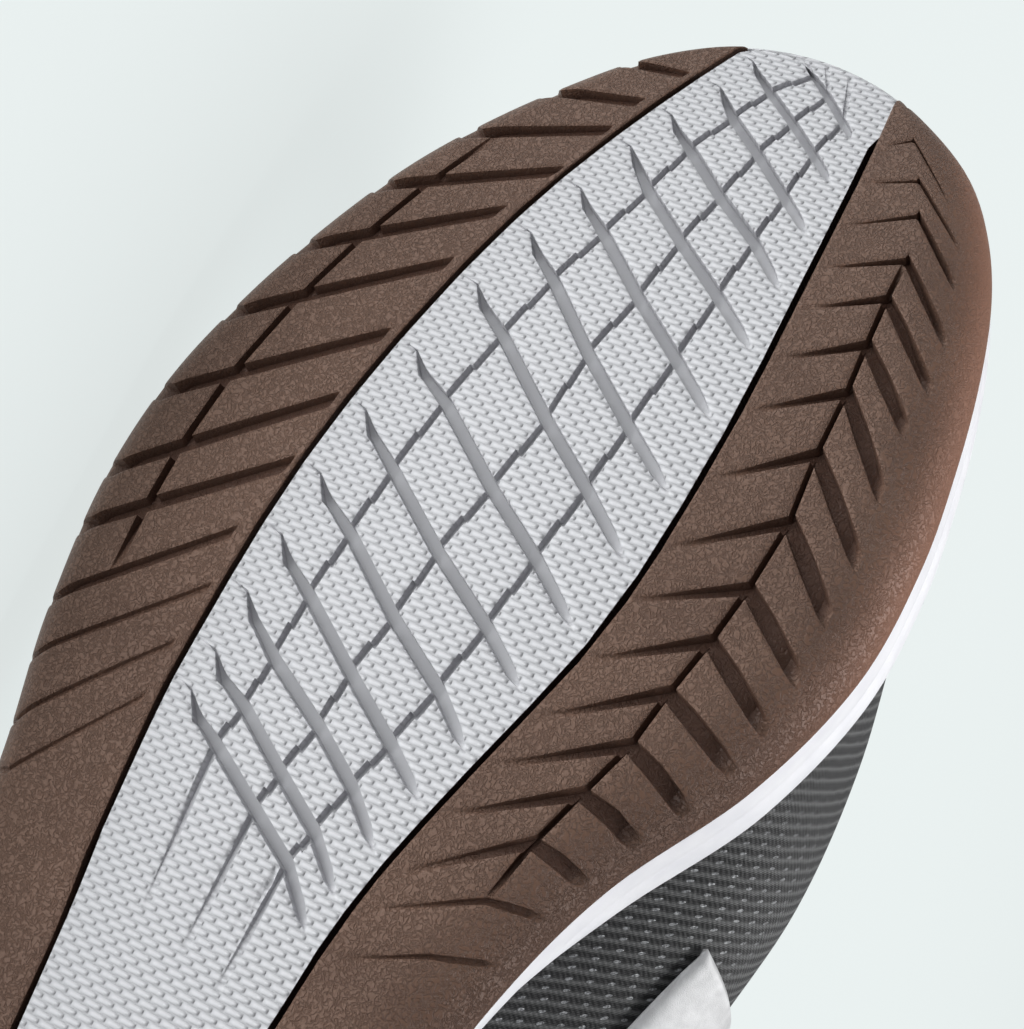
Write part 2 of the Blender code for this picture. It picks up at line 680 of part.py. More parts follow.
def overlays():
    """Toe guard, heel counter, eyestay, side panels and collar cuff, each from the shell's function."""
    patch("toe_guard", np.arange(-50, 51, 5.0), lambda a: 0.02 + 0 * a,
          lambda a: 0.30 - 0.17 * smooth(8, 50, np.abs(a)), 5, "overlay", OVERLAY)
    back = np.arange(130, 231, 5.0)
    patch("heel_counter", back, lambda a: 0.02 + 0 * a,
          lambda a: 0.62 - 0.34 * smooth(10, 50, np.abs(a - 180)), 6, "overlay", OVERLAY)
    patch("eyestay", np.arange(-90, 91, 5.0), lambda a: 0.80 + 0.05 * smooth(15, 40, np.abs(a)),
          lambda a: 0.985 + 0 * a, 4, "overlay", OVERLAY)
    for name, side, front, low in SIDE_PANELS:
        turns = side * np.arange(front, 111, 5.0)
        patch(name, turns, lambda a, low=low: low + 0.10 * smooth(90, 110, np.abs(a)),
              lambda a: 0.62 + 0.14 * smooth(70, 90, np.abs(a)), 9, "panel", OVERLAY, PANEL_GAP)
    patch("collar_cuff", np.arange(100, 261, 5.0), lambda a: 0.84 + 0 * a, lambda a: 0.985 + 0 * a,
          4, "lining", CUFF)
    patch("heel_tab", np.arange(175, 186, 5.0), lambda a: 0.65 + 0 * a, lambda a: 0.82 + 0 * a,
          4, "overlay", HEEL_TAB)


def tongue():
    """Padded strip under the throat's edges: it bridges the throat and runs on past the collar."""
    down = -(WALL + 2 * CLEARANCE)
    stations = np.array([18.0, 30.0, 40.0, 50.0, 60.0, 70.0, 80.0, 90.0])
    rows = []
    for turn in stations:
        flap = np.array([0.84, 0.90, 0.95, 1.0])
        inner = shell(np.full(4, turn), flap, np.full(4, down))
        outer = shell(np.full(4, -turn), flap[::-1], np.full(4, down))
        middle = (inner[-1] + outer[0]) / 2
        crown = np.array([0.0, 0.0, TONGUE_CROWN * BALL_WIDTH * smooth(20, 60, turn)])
        rows.append(np.vstack([inner, (inner[-1] + middle) / 2 + crown * 0.7, middle + crown,
                               (outer[0] + middle) / 2 + crown * 0.7, outer]))
    lift = (rows[-1] - rows[-3]).mean(axis=0)
    lift = lift / np.linalg.norm(lift)
    for reach, narrow in ((0.05, 0.84), (0.11, 0.76), (0.15, 0.60)):
        last = rows[len(stations) - 1]
        centre = last.mean(axis=0)
        spread = (last - centre) * np.array([1.0, narrow, 1.0])
        rows.append(centre + spread + lift * reach * INSTEP_HEIGHT)
    points = np.vstack(rows)
    piece = add_object("tongue", points, grid_faces(len(rows), len(rows[0]), False), "lining")
    outward(piece)
    solidify(piece, TONGUE, False)


def lace_strip(start, end):
    """Points and faces of one strip from the outer eyelet at turn start to the inner one at turn end."""
    lift = OVERLAY_GAP + OVERLAY + LACE_GAP + LACE_THICK / 2
    centres, normals = [], []
    for share, row in LACE_PATH:
        turn = start + (end - start) * share
        side = -1.0 if share < 0.5 else 1.0
        centres.append(shell(side * turn, row, lift))
        normals.append(shell(side * turn, row, lift + LACE_THICK) - centres[-1])
    half = len(LACE_PATH) // 2
    crown = np.array([0.0, 0.0, TONGUE_CROWN * BALL_WIDTH * smooth(20, 60, (start + end) / 2)])
    middle = (centres[half - 1] + centres[half]) / 2 + crown
    near = (centres[half - 1] + middle) / 2 + crown * 0.35
    far = (centres[half] + middle) / 2 + crown * 0.35
    top = (normals[half - 1] + normals[half]) / 2
    centres = np.array([*centres[:half], near, middle, far, *centres[half:]])
    normals = np.array([*normals[:half], top, top, top, *normals[half:]])
    normals /= np.linalg.norm(normals, axis=1, keepdims=True)
    side = np.cross(np.gradient(centres, axis=0), normals)
    side *= LACE_WIDTH / 2 / np.linalg.norm(side, axis=1, keepdims=True)
    up = normals * LACE_THICK / 2
    corners = [centres - side - up, centres + side - up, centres + side + up, centres - side + up]
    return section_sweep(np.stack(corners, axis=1))


def laces():
    """Crossed laces: strips from eyelet to eyelet over the throat, joined wherever they meet."""
    places, quads = lace_strip(EYELETS[0], EYELETS[0])
    piece = add_object("laces", places, quads, "cord")
    strips = []
    for first, second in zip(EYELETS, EYELETS[1:]):
        strips += [lace_strip(first, second), lace_strip(second, first)]
    for number, (places, quads) in enumerate(strips):
        combine_with(piece, [(places + np.array([0.0, 0.0, LACE_STEP * (number + 1)]), quads)], "UNION")
    merge_flat_faces(piece, FLAT)


def lay_down():
    """Parents every piece and cutter to one empty that lays the shoe on its outer side.

    The bottom centre of its box is the origin. The floor is the hull's face towards the outer side that has
    the shoe's middle above it.
    """
    bpy.context.view_layer.update()
    graph = bpy.context.evaluated_depsgraph_get()
    clouds = []
    for piece in parts.objects:
        mesh = piece.evaluated_get(graph).to_mesh()
        clouds.append(np.array([vertex.co[:] for vertex in mesh.vertices]))
    cloud = np.concatenate(clouds)
    hull = bmesh.new()
    for point in cloud:
        hull.verts.new(point)
    made = bmesh.ops.convex_hull(hull, input=hull.verts)
    middle = Vector((SOLE_LENGTH * 0.47, 0.0, INSTEP_HEIGHT * 0.32))
    best, facing = None, 0.0
    for face in [item for item in made["geom"] if isinstance(item, bmesh.types.BMFace)]:
        normal = face.normal if face.normal.dot(face.calc_center_median() - middle) > 0 else -face.normal
        corners = [vertex.co for vertex in face.verts]
        under = middle + normal * (corners[0] - middle).dot(normal)
        sides = [(b - a).cross(under - a).dot(normal) for a, b in zip(corners, corners[1:] + corners[:1])]
        held = all(s >= 0 for s in sides) or all(s <= 0 for s in sides)
        if held and -normal.y > facing:
            best, facing = normal.copy(), -normal.y
    hull.free()
    up = -best
    toe = Vector((1.0, 0.0, 0.0))
    toe = (toe - up * toe.dot(up)).normalized()
    across = up.cross(-toe)
    turn = Matrix((-toe, across, up))
    laid = cloud @ np.array(turn).T
    low, high = laid.min(axis=0), laid.max(axis=0)
    base = bpy.data.objects.new("lying_shoe", None)
    bpy.context.scene.collection.objects.link(base)
    shift = Vector((-(low[0] + high[0]) / 2, -(low[1] + high[1]) / 2, -low[2]))
    base.matrix_world = Matrix.Translation(shift) @ turn.to_4x4()
    for piece in [*parts.objects, *cutters.objects]:
        piece.parent = base


for old in list(bpy.data.objects):
    bpy.data.objects.remove(old, do_unlink=True)
parts = bpy.data.collections.new("indoor_soccer_shoe")
cutters = bpy.data.collections.new("cutters")
bpy.context.scene.collection.children.link(parts)
bpy.context.scene.collection.children.link(cutters)
cutters.hide_render = True

gum_horseshoe()
inlay()
midsole()
insole()
upper()
tongue()
overlays()
laces()
lay_down()
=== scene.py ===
import bpy
import numpy as np
from mathutils import Matrix, Vector


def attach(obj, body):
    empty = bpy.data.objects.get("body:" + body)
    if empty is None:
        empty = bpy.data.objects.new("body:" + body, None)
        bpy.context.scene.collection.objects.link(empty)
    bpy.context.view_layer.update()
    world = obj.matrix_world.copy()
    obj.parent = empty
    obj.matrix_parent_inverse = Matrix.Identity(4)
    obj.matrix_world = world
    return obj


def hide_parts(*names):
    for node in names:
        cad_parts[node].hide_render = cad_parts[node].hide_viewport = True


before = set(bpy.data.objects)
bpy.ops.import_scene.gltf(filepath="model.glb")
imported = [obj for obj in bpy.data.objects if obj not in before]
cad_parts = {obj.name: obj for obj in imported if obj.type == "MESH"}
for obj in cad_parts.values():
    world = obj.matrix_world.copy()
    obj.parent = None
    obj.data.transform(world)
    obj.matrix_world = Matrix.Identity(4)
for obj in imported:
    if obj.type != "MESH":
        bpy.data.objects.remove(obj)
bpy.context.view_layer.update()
print("frame loaded")

# The shoe is worked out in millimetres in its own frame, as in the solids: x from heel to toe, y to the inner
# side, z up from the ground. A turn is an angle round the shoe: 0 at the toe, 180 at the heel, and positive on
# the inner side.
shoe = {
    "length": 292.0,
    "ballWidth": 111.0,
    "toeSpring": 15.0,
    "archRise": 2.5,
    "heelBevel": 3.0,
    "tread": 4.5,
    "innerShoulder": 10.0,
    "outerShoulder": 6.0,
    "gumWrap": 8.0,
    "sideStep": 0.7,
    "instepHeight": 104.0,
    "heelHeight": 93.0,
    "wall": 2.0,
    "inlayHeel": 0.14,
    "inlayRound": 0.07,
    "inside": (130.0, 0.0, 40.0),
}
lying = {"toeLift": 5.7254, "soleLift": 0.97588, "shift": (143.395, -56.065, 35.249)}  # degrees, then mm

# turn, inner and outer edge of the sole in ball widths
outlineTable = np.array([
    (0.0, 0.030, 0.030), (15.0, 0.205, -0.130), (22.5, 0.288, -0.203), (30.0, 0.350, -0.265),
    (37.5, 0.402, -0.325), (45.0, 0.443, -0.381), (52.5, 0.476, -0.425), (60.0, 0.500, -0.462),
    (67.5, 0.500, -0.487), (75.0, 0.452, -0.484), (82.5, 0.362, -0.448), (90.0, 0.305, -0.398),
    (105.0, 0.268, -0.352), (120.0, 0.290, -0.336), (135.0, 0.312, -0.330), (150.0, 0.272, -0.285),
    (165.0, 0.156, -0.172), (180.0, -0.006, -0.006)])
# share of the length, inner and outer edge of the white centre in ball widths
inlayTable = np.array([
    (0.14, 0.105, -0.125), (0.28, 0.112, -0.135), (0.40, 0.110, -0.155), (0.50, 0.128, -0.202),
    (0.58, 0.177, -0.220), (0.66, 0.228, -0.226), (0.76, 0.236, -0.205), (0.86, 0.210, -0.162),
    (0.94, 0.180, -0.105), (1.00, 0.150, -0.055)])
# turn, lean of the midsole's top edge, inner and outer, in ball widths
leanTable = np.array([
    (0.0, 0.020, 0.020), (45.0, 0.022, 0.020), (67.5, 0.024, 0.020), (78.0, 0.012, 0.024),
    (90.0, 0.048, 0.030), (110.0, 0.050, 0.032), (140.0, 0.028, 0.026), (180.0, 0.024, 0.024)])
# turn, x in lengths, inner and outer y in ball widths, height in instep heights and in heel heights
topTable = np.array([
    (0.0, 0.655, 0.010, 0.010, 0.690, 0.00), (15.0, 0.655, 0.042, -0.022, 0.692, 0.00),
    (30.0, 0.651, 0.078, -0.058, 0.700, 0.00), (45.0, 0.638, 0.102, -0.084, 0.720, 0.00),
    (60.0, 0.600, 0.122, -0.106, 0.775, 0.00), (75.0, 0.535, 0.142, -0.128, 0.880, 0.00),
    (90.0, 0.450, 0.165, -0.152, 1.000, 0.00), (105.0, 0.365, 0.225, -0.215, 0.550, 0.35),
    (120.0, 0.265, 0.270, -0.265, 0.110, 0.69), (135.0, 0.170, 0.272, -0.272, 0.000, 0.81),
    (150.0, 0.088, 0.222, -0.226, 0.000, 0.88), (165.0, 0.038, 0.122, -0.130, 0.000, 0.97),
    (180.0, 0.020, 0.000, 0.000, 0.000, 1.00)])
# turn, swell of the upper's wall, inner and outer, in ball widths
swellTable = np.array([
    (0.0, 0.010, 0.010), (30.0, 0.006, 0.012), (60.0, 0.000, 0.022), (75.0, 0.075, 0.030),
    (90.0, 0.185, 0.052), (105.0, 0.170, 0.062), (120.0, 0.090, 0.055), (140.0, 0.050, 0.045),
    (180.0, 0.055, 0.055)])
# up the wall, way in and height on the toe box, way in and height on the sides, swell
sectionTable = np.array([
    (0.000, 0.000, 0.00, 0.00, 0.00, 0.00), (0.125, 0.006, 0.17, 0.02, 0.12, 0.55),
    (0.250, 0.050, 0.33, 0.06, 0.24, 0.92), (0.375, 0.150, 0.46, 0.14, 0.37, 1.00),
    (0.500, 0.300, 0.58, 0.27, 0.50, 0.90), (0.625, 0.480, 0.69, 0.44, 0.63, 0.70),
    (0.750, 0.650, 0.79, 0.62, 0.75, 0.45), (0.875, 0.825, 0.90, 0.81, 0.88, 0.20),
    (1.000, 1.000, 1.00, 1.00, 1.00, 0.00)])


# a smooth curve through rows: cubic pieces whose slopes are the neighbours' chords
def through(xs, ys, x):
    x = np.asarray(x, float)
    slope = np.gradient(ys, xs)
    k = np.clip(np.searchsorted(xs, x, side="right") - 1, 0, len(xs) - 2)
    h = xs[k + 1] - xs[k]
    s = np.clip((x - xs[k]) / h, 0.0, 1.0)
    return ((2 * s**3 - 3 * s**2 + 1) * ys[k] + (s**3 - 2 * s**2 + s) * h * slope[k]
            + (3 * s**2 - 2 * s**3) * ys[k + 1] + (s**3 - s**2) * h * slope[k + 1])


# a table's value at signed turns, smooth across the toe and the heel
def roundShoe(table, inner, outer, turn):
    xs = np.concatenate([-table[:0:-1, 0], table[:, 0]])
    ys = np.concatenate([table[:0:-1, outer], table[:, inner]])
    xs = np.concatenate([xs[-4:-1] - 360.0, xs, xs[1:4] + 360.0])
    ys = np.concatenate([ys[-4:-1], ys, ys[1:4]])
    return through(xs, ys, turn)


# 0 below low, 1 above high, an S curve between
def smooth(low, high, x):
    s = np.clip((np.asarray(x, float) - low) / (high - low), 0.0, 1.0)
    return s * s * (3 - 2 * s)


def unit(vectors):
    return vectors / np.maximum(np.linalg.norm(vectors, axis=-1, keepdims=True), 1e-9)


def toeSpring(x):
    share = np.asarray(x, float) / shoe["length"]
    return shoe["toeSpring"] * np.clip((share - 0.66) / 0.34, 0.0, None) ** 2


# height of the sole's line: flat, with toe spring and a low arch
def groundLine(x):
    share = np.asarray(x, float) / shoe["length"]
    return toeSpring(x) + shoe["archRise"] * smooth(0.24, 0.36, share) * (1 - smooth(0.44, 0.56, share))


# the sole's line with the heel's bevel
def treadLine(x):
    share = np.asarray(x, float) / shoe["length"]
    return groundLine(x) + shoe["heelBevel"] * np.clip(1 - share / 0.08, 0.0, None) ** 2


# share of the length, height of the foot bed over the toe spring
bedTable = np.array([(0.0, 27.0), (0.22, 27.0), (0.64, 19.5), (0.82, 19.5), (1.0, 14.5)])


def footBed(x):
    return toeSpring(x) + through(*bedTable.T, np.asarray(x, float) / shoe["length"])


# the sole's outline moved in by inset, and its outward direction in plan
def soleEdge(turn, inset=0.0):
    turn = np.asarray(turn, float)

    def raw(at):
        wrapped = (at + 180.0) % 360.0 - 180.0
        return (shoe["length"] * (0.5 + 0.5 * np.cos(np.radians(at))),
                shoe["ballWidth"] * roundShoe(outlineTable, 1, 2, wrapped))

    (x, y), (x0, y0), (x1, y1) = raw(turn), raw(turn - 1.0), raw(turn + 1.0)
    span = np.hypot(x1 - x0, y1 - y0)
    nx, ny = (y1 - y0) / span, (x0 - x1) / span
    return x - nx * inset, y - ny * inset, nx, ny


def outlineAt(x, side):
    turn = side * np.degrees(np.arccos(np.clip(2 * np.asarray(x, float) / shoe["length"] - 1, -1, 1)))
    return soleEdge(turn)[1]


# the white centre's edge on the inner (1) or outer (-1) side, with a round end at the heel
def inlayAt(x, side):
    share = np.asarray(x, float) / shoe["length"]
    y = shoe["ballWidth"] * through(inlayTable[:, 0], inlayTable[:, 1 if side > 0 else 2], share)
    tip = np.clip((shoe["inlayHeel"] + shoe["inlayRound"] - share) / shoe["inlayRound"], 0.0, 1.0)
    return y * np.sqrt(1 - tip**2)


def inlayRing(turn, gap):
    x = soleEdge(turn)[0] + shoe["inlayHeel"] * shoe["length"] * smooth(90, 180, np.abs(turn))
    y = np.where(turn >= 0, inlayAt(x, 1), inlayAt(x, -1))
    back = smooth(150, 180, np.abs(turn))
    return x - gap * back, y + np.where(turn >= 0, 1.0, -1.0) * gap * (1 - back)


def shoulderWidth(turn):
    turn = (np.asarray(turn, float) + 180.0) % 360.0 - 180.0
    inner = smooth(0, 40, turn) * (1 - smooth(110, 160, turn))
    width = shoe["outerShoulder"] + (shoe["innerShoulder"] - shoe["outerShoulder"]) * inner
    return width * (0.4 + 0.6 * smooth(8, 35, np.abs(turn)))


def upTheWall(column, t):
    return through(sectionTable[:, 0], sectionTable[:, column], t)


# the upper's outer face: t is 0 at the sole and 1 at the top edge, out moves it along its normal
def shell(turn, t, out=0.0):
    turn, t, out = np.broadcast_arrays(np.asarray(turn, float), np.asarray(t, float), np.asarray(out, float))

    def raw(turn, t):
        turn = (turn + 180.0) % 360.0 - 180.0
        lean = shoe["ballWidth"] * roundShoe(leanTable, 1, 2, turn) + shoe["wall"] / 2
        bx, by, nx, ny = soleEdge(turn, lean)
        bz = footBed(bx) + 0.3
        side = smooth(15, 70, np.abs(turn))
        wayIn = (1 - side) * upTheWall(1, t) + side * upTheWall(3, t)
        height = (1 - side) * upTheWall(2, t) + side * upTheWall(4, t)
        swell = shoe["ballWidth"] * roundShoe(swellTable, 1, 2, turn) * upTheWall(5, t)
        tx = shoe["length"] * roundShoe(topTable, 1, 1, turn)
        ty = shoe["ballWidth"] * roundShoe(topTable, 2, 3, turn)
        tz = (shoe["instepHeight"] * roundShoe(topTable, 4, 4, turn)
              + shoe["heelHeight"] * roundShoe(topTable, 5, 5, turn))
        return np.stack([bx + (tx - bx) * wayIn + nx * swell, by + (ty - by) * wayIn + ny * swell,
                         bz + (tz - bz) * height], axis=-1)

    along = raw(turn + 1.0, t) - raw(turn - 1.0, t)
    up = raw(turn, np.clip(t + 0.01, 0, 1)) - raw(turn, np.clip(t - 0.01, 0, 1))
    return raw(turn, t) + unit(np.cross(along, up)) * out[..., None]


# shoe millimetres to metres on the floor: the toe lifts by one angle and the sole by the other
def toFloor(points, shifted=True):
    a, b = np.radians(lying["toeLift"]), np.radians(lying["soleLift"])
    turned = np.array([
        (-np.cos(a), np.sin(a) * np.cos(b), -np.sin(a) * np.sin(b)),
        (0.0, np.sin(b), np.cos(b)),
        (np.sin(a), np.cos(a) * np.cos(b), -np.cos(a) * np.sin(b))])
    moved = np.asarray(points, float) @ turned.T
    return (moved + np.array(lying["shift"])) / 1000.0 if shifted else moved


# a mesh from shoe millimetres, with point attributes and a map in millimetres; its faces turn away from a place
# inside the shoe, and those of a closed solid turn outwards
def addMesh(name, points, faces, material, values=None, uv=None):
    mesh = bpy.data.meshes.new(name)
    faces = faces.tolist() if isinstance(faces, np.ndarray) else faces
    mesh.from_pydata(toFloor(points.reshape(-1, 3)), [], faces)
    mesh.validate()
    centres, normals, areas = (np.zeros(len(mesh.polygons) * n, np.float32) for n in (3, 3, 1))
    for key, kept in (("center", centres), ("normal", normals), ("area", areas)):
        mesh.polygons.foreach_get(key, kept)
    away = centres.reshape(-1, 3) - toFloor(np.array(shoe["inside"]))
    if (np.einsum("ij,ij->i", away, normals.reshape(-1, 3)) * areas).sum() < 0:
        mesh.flip_normals()
    for key, value in (values or {}).items():
        layer = mesh.attributes.new(key, "FLOAT", "POINT")
        layer.data.foreach_set("value", np.asarray(value, np.float32).ravel())
    if uv is not None:
        corners = np.zeros(len(mesh.loops), np.int32)
        mesh.loops.foreach_get("vertex_index", corners)
        spread = uv.reshape(-1, 2)[corners].astype(np.float32)
        mesh.uv_layers.new(name="plan").data.foreach_set("uv", spread.ravel())
    mesh.shade_smooth()
    mesh.materials.append(material)
    piece = bpy.data.objects.new(name, mesh)
    bpy.context.scene.collection.objects.link(piece)
    return piece


def finishPiece(piece, slot, *nodes):
    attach(piece, "root")
    if nodes:
        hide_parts(*nodes)
    return piece


# quads of a grid in row order, optionally joined round in either direction
def gridFaces(rows, columns, wrapColumns=False, wrapRows=False):
    r = np.arange(rows if wrapRows else rows - 1)[:, None]
    c = np.arange(columns if wrapColumns else columns - 1)[None, :]
    r1, c1 = (r + 1) % rows, (c + 1) % columns
    corners = [r * columns + c, r * columns + c1, r1 * columns + c1, r1 * columns + c]
    return np.stack(corners, axis=-1).reshape(-1, 4)


def capFaces(rows, columns):
    return [list(range(columns))[::-1], list(range((rows - 1) * columns, rows * columns))]


# many equal tubes one after the other, each capped, or closed on itself
def manyTubes(count, rows, columns, closed=False):
    faces = gridFaces(rows, columns, True, closed).tolist() + ([] if closed else capFaces(rows, columns))
    return [[corner + k * rows * columns for corner in face] for k in range(count) for face in faces]


# a node's output as a number to reckon with: each sum adds one math node
class Value:
    def __init__(self, look, socket):
        self.look, self.socket = look, socket

    def math(self, operation, *others):
        return self.look.node("Math", dict(enumerate((self, *others))), operation=operation)

    def spread(self, low, high, toLow=0.0, toHigh=1.0):
        return self.look.node("MapRange", dict(enumerate((self, low, high, toLow, toHigh))))

    def __add__(self, other):
        return self.math("ADD", other)

    def __sub__(self, other):
        return self.math("SUBTRACT", other)

    def __rsub__(self, other):
        return self.look.node("Math", {0: other, 1: self}, operation="SUBTRACT")

    def __mul__(self, other):
        return self.math("MULTIPLY", other)

    def __truediv__(self, other):
        return self.math("DIVIDE", other)

    def __pow__(self, other):
        return self.math("POWER", other)

    def __abs__(self):
        return self.math("ABSOLUTE")


# a material being made: each method adds a node and gives its output
class Look:
    def __init__(self, name, inputs):
        self.made = bpy.data.materials.new(name)
        self.made.use_nodes = True
        self.shader = self.made.node_tree.nodes["Principled BSDF"]
        self.feed(self.shader, inputs)

    def feed(self, node, inputs):
        for key, value in inputs.items():
            socket = node.inputs[key]
            if isinstance(value, Value):
                self.made.node_tree.links.new(value.socket, socket)
            else:
                socket.default_value = (*value, 1.0) if socket.type == "RGBA" else value

    def node(self, kind, inputs, output=0, **settings):
        node = self.made.node_tree.nodes.new("ShaderNode" + kind)
        for key, value in settings.items():
            setattr(node, key, value)
        self.feed(node, inputs)
        return Value(self, node.outputs[output])

    def place(self, scale):
        return self.node("Mapping", {"Vector": self.node("TexCoord", {}, "Object"), "Scale": (scale,) * 3})

    def noise(self, place, detail, scale=5.0, distortion=0.0, output=0):
        inputs = {"Vector": place, "Detail": detail, "Scale": scale, "Distortion": distortion}
        return self.node("TexNoise", inputs, output)

    def plan(self):
        first = self.node("SeparateXYZ", {0: self.node("UVMap", {}, uv_map="plan")})
        return first, Value(self, first.socket.node.outputs[1])

    def attribute(self, name):
        return self.node("Attribute", {}, "Fac", attribute_name=name)

    def mix(self, factor, first, second):
        return self.node("Mix", {0: factor, 6: first, 7: second}, 2, data_type="RGBA")

    def finish(self, colour, roughness, height, depth):
        bump = self.node("Bump", {"Height": height, "Distance": depth, "Strength": 1.0})
        self.feed(self.shader, {"Base Color": colour, "Roughness": roughness, "Normal": bump})
        return self.made


fullTurn = 6.2832

gumLook = {
    "top": (0.180, 0.100, 0.069),
    # painted shade in the wrinkles' creases, mixed with tone that varies at random
    "darkerTone": (0.142, 0.077, 0.053),
    # painted light: the shoulder round the ball made brighter and warmer where it tilts up
    "paintedShoulderLight": (0.290, 0.140, 0.090),
    # painted shade on the groove floors
    "deep": (0.112, 0.058, 0.041),
    # painted shadow: near black in the gap by the white centre, and partly over the shoulder behind the ball
    "line": (0.024, 0.012, 0.008),
    "grainSize": 0.85,  # millimetres
    "grainDepth": 0.00024,  # metres
}


# wrinkles along the middle of a warped noise, weaker where the rubber is polished; the colour is darker in their
# creases as painted shade, with painted shade in the grooves, the rim's gap and the rear shoulder, and painted
# light on the shoulder round the ball
def makeGum():
    look = Look("gumRubber", {"Specular IOR Level": 0.32})
    place = look.place(1000.0 / gumLook["grainSize"])
    warp = look.noise(place, 2.0, 0.9, output="Color")
    folds = look.noise(look.node("VectorMath", {0: place, 1: warp}, operation="ADD"), 3.0, 1.25, 0.5)
    cells = abs(folds * 6.0 - 3.0).math("MINIMUM", 0.5)
    groove, paintedShoulderLight, line = (look.attribute(key) for key in ("groove", "paintedShoulderLight", "line"))
    polish = (groove * 0.8).math("MAXIMUM", paintedShoulderLight)
    height = (cells + look.noise(place, 4.0, 2.6) * 0.45) * polish.spread(0.0, 1.0, 1.0, 0.55)
    shade = cells * 0.5 + look.noise(place, 3.0, 0.05) * 0.7
    # darker along the wrinkles' creases as painted shade, and at random with the grain
    colour = look.mix(shade.spread(0.35, 0.65), gumLook["darkerTone"], gumLook["top"])
    # mixes in painted light on the shoulder, then painted shade in the grooves and in the gap by the white centre
    for share, key in ((paintedShoulderLight, "paintedShoulderLight"), (groove, "deep"), (line, "line")):
        colour = look.mix(share, colour, gumLook[key])
    return look.finish(colour, shade.spread(0.2, 0.9, 0.52, 0.40), height, gumLook["grainDepth"])


whiteLook = {
    "top": (0.685, 0.675, 0.705),
    # painted shade: darker between the pads
    "between": (0.52, 0.515, 0.54),
    # painted shade: greyer floors in the grooves
    "groove": (0.45, 0.445, 0.47),
    # painted shadow: near black on the side wall that shows in the gap by the gum
    "edge": (0.030, 0.016, 0.012),
    "padLong": 2.7,  # millimetres
    "padWide": 0.98,
    "padTurn": 2.0,  # degrees from straight across towards the toe
    "padHeight": 0.00028,  # metres
}


# raised lens pads in brick order: each falls away from its middle, is higher at one end and has a dot there; the
# colour is darker between the pads and in the grooves as painted shade, and near black on the side wall as
# painted shadow
def makeWhiteRubber():
    look = Look("whiteRubber", {})
    x, y = look.plan()
    turn = np.radians(whiteLook["padTurn"])
    sine, cosine = float(np.sin(turn)), float(np.cos(turn))
    row = (x * cosine - y * sine) / whiteLook["padWide"]
    cell = (x * sine + y * cosine) / whiteLook["padLong"] + row.math("FLOOR") * 0.5
    cu, cv = cell.math("FRACT") - 0.5, row.math("FRACT") - 0.5
    ends, sides = 1.0 - abs(cu * 2.05) ** 3.0, 1.0 - abs(cv * 2.2) ** 2.0
    pad = ends.math("MAXIMUM", 0.0) * sides.math("MAXIMUM", 0.0) * (cu * 0.6 + 0.75)
    dot = (1.0 - (((cu - 0.34) * 5.4) ** 2.0 + (cv * 3.2) ** 2.0)).math("MAXIMUM", 0.0) * 0.4
    groove = look.attribute("groove")
    colour = look.mix(pad.spread(0.0, 0.45), whiteLook["between"], whiteLook["top"])
    colour = look.mix(groove, colour, whiteLook["groove"])
    colour = look.mix(look.attribute("edge"), colour, whiteLook["edge"])
    gloss = look.noise(look.place(60.0), 3.0).spread(0.3, 0.7, 0.36, 0.48)
    return look.finish(colour, gloss, (pad + dot) * (1.0 - groove), whiteLook["padHeight"])


foamLook = {"face": (0.91, 0.91, 0.94), "shade": (0.87, 0.87, 0.91)}


def makeFoam():
    look = Look("whiteFoam", {})
    broad = look.noise(look.place(45.0), 4.0)
    colour = look.mix(broad.spread(0.35, 0.65), foamLook["shade"], foamLook["face"])
    return look.finish(colour, broad.spread(0.3, 0.7, 0.40, 0.50), look.noise(look.place(2600.0), 2.0), 0.00002)


meshLook = {
    "thread": (0.10, 0.101, 0.101),
    "hole": (0.006, 0.006, 0.007),
    "glint": (0.55, 0.56, 0.58),
    "rib": 1.9,  # millimetres from rib to rib
    "knit": 0.55,
    "glintRow": 2.1,
    "lean": 0.55,  # forward for each step up the wall
    "ribHeight": 0.00035,  # metres
}


# ribs up the wall with a fine knit in each, and rows of glints near the sole; u runs along the shoe, v up it
def makeMesh():
    look = Look("blackMesh", {"Sheen Weight": 0.35, "Sheen Roughness": 0.4})
    u, v = look.plan()
    ribs = (u - v * meshLook["lean"]) / meshLook["rib"] + look.noise(look.place(120.0), 1.0) * 0.25
    rib = (ribs * fullTurn).math("SINE").spread(-1.0, 1.0) ** 1.6
    knit = (v * (fullTurn / meshLook["knit"])).math("SINE") * (ribs * (3 * fullTurn)).math("SINE")
    height = rib + knit * 0.14
    cellU = ribs.math("FRACT") - 0.5
    cellV = (v / meshLook["glintRow"] + ribs.math("FLOOR") * 0.5).math("FRACT") - 0.5
    near = 1.0 - ((cellU * 5.6) ** 2.0 + (cellV * 5.0) ** 2.0)
    uneven = look.noise(look.place(700.0), 1.0).spread(0.35, 0.65, 0.25, 1.35)
    glint = look.attribute("glint") * (near.math("GREATER_THAN", 0.35) * uneven)
    colour = look.mix(height.spread(0.1, 1.0), meshLook["hole"], meshLook["thread"])
    colour = look.mix(glint * 0.55, colour, meshLook["glint"])
    return look.finish(colour, glint.spread(0.0, 1.0, 0.62, 0.22), height, meshLook["ribHeight"])


# a soft knit in two crossed rows, with painted shade darkening its low places
def makeLining(name, colour, pitch, depth):
    look = Look(name, {"Sheen Weight": 0.5})
    across, along = ((part * (fullTurn / pitch)).math("SINE") for part in look.plan())
    height = across * along * 0.5 + look.noise(look.place(900.0), 5.0)
    dark = tuple(c * 0.45 for c in colour)
    return look.finish(look.mix(height.spread(0.1, 1.0), dark, colour), 0.85, height, depth)


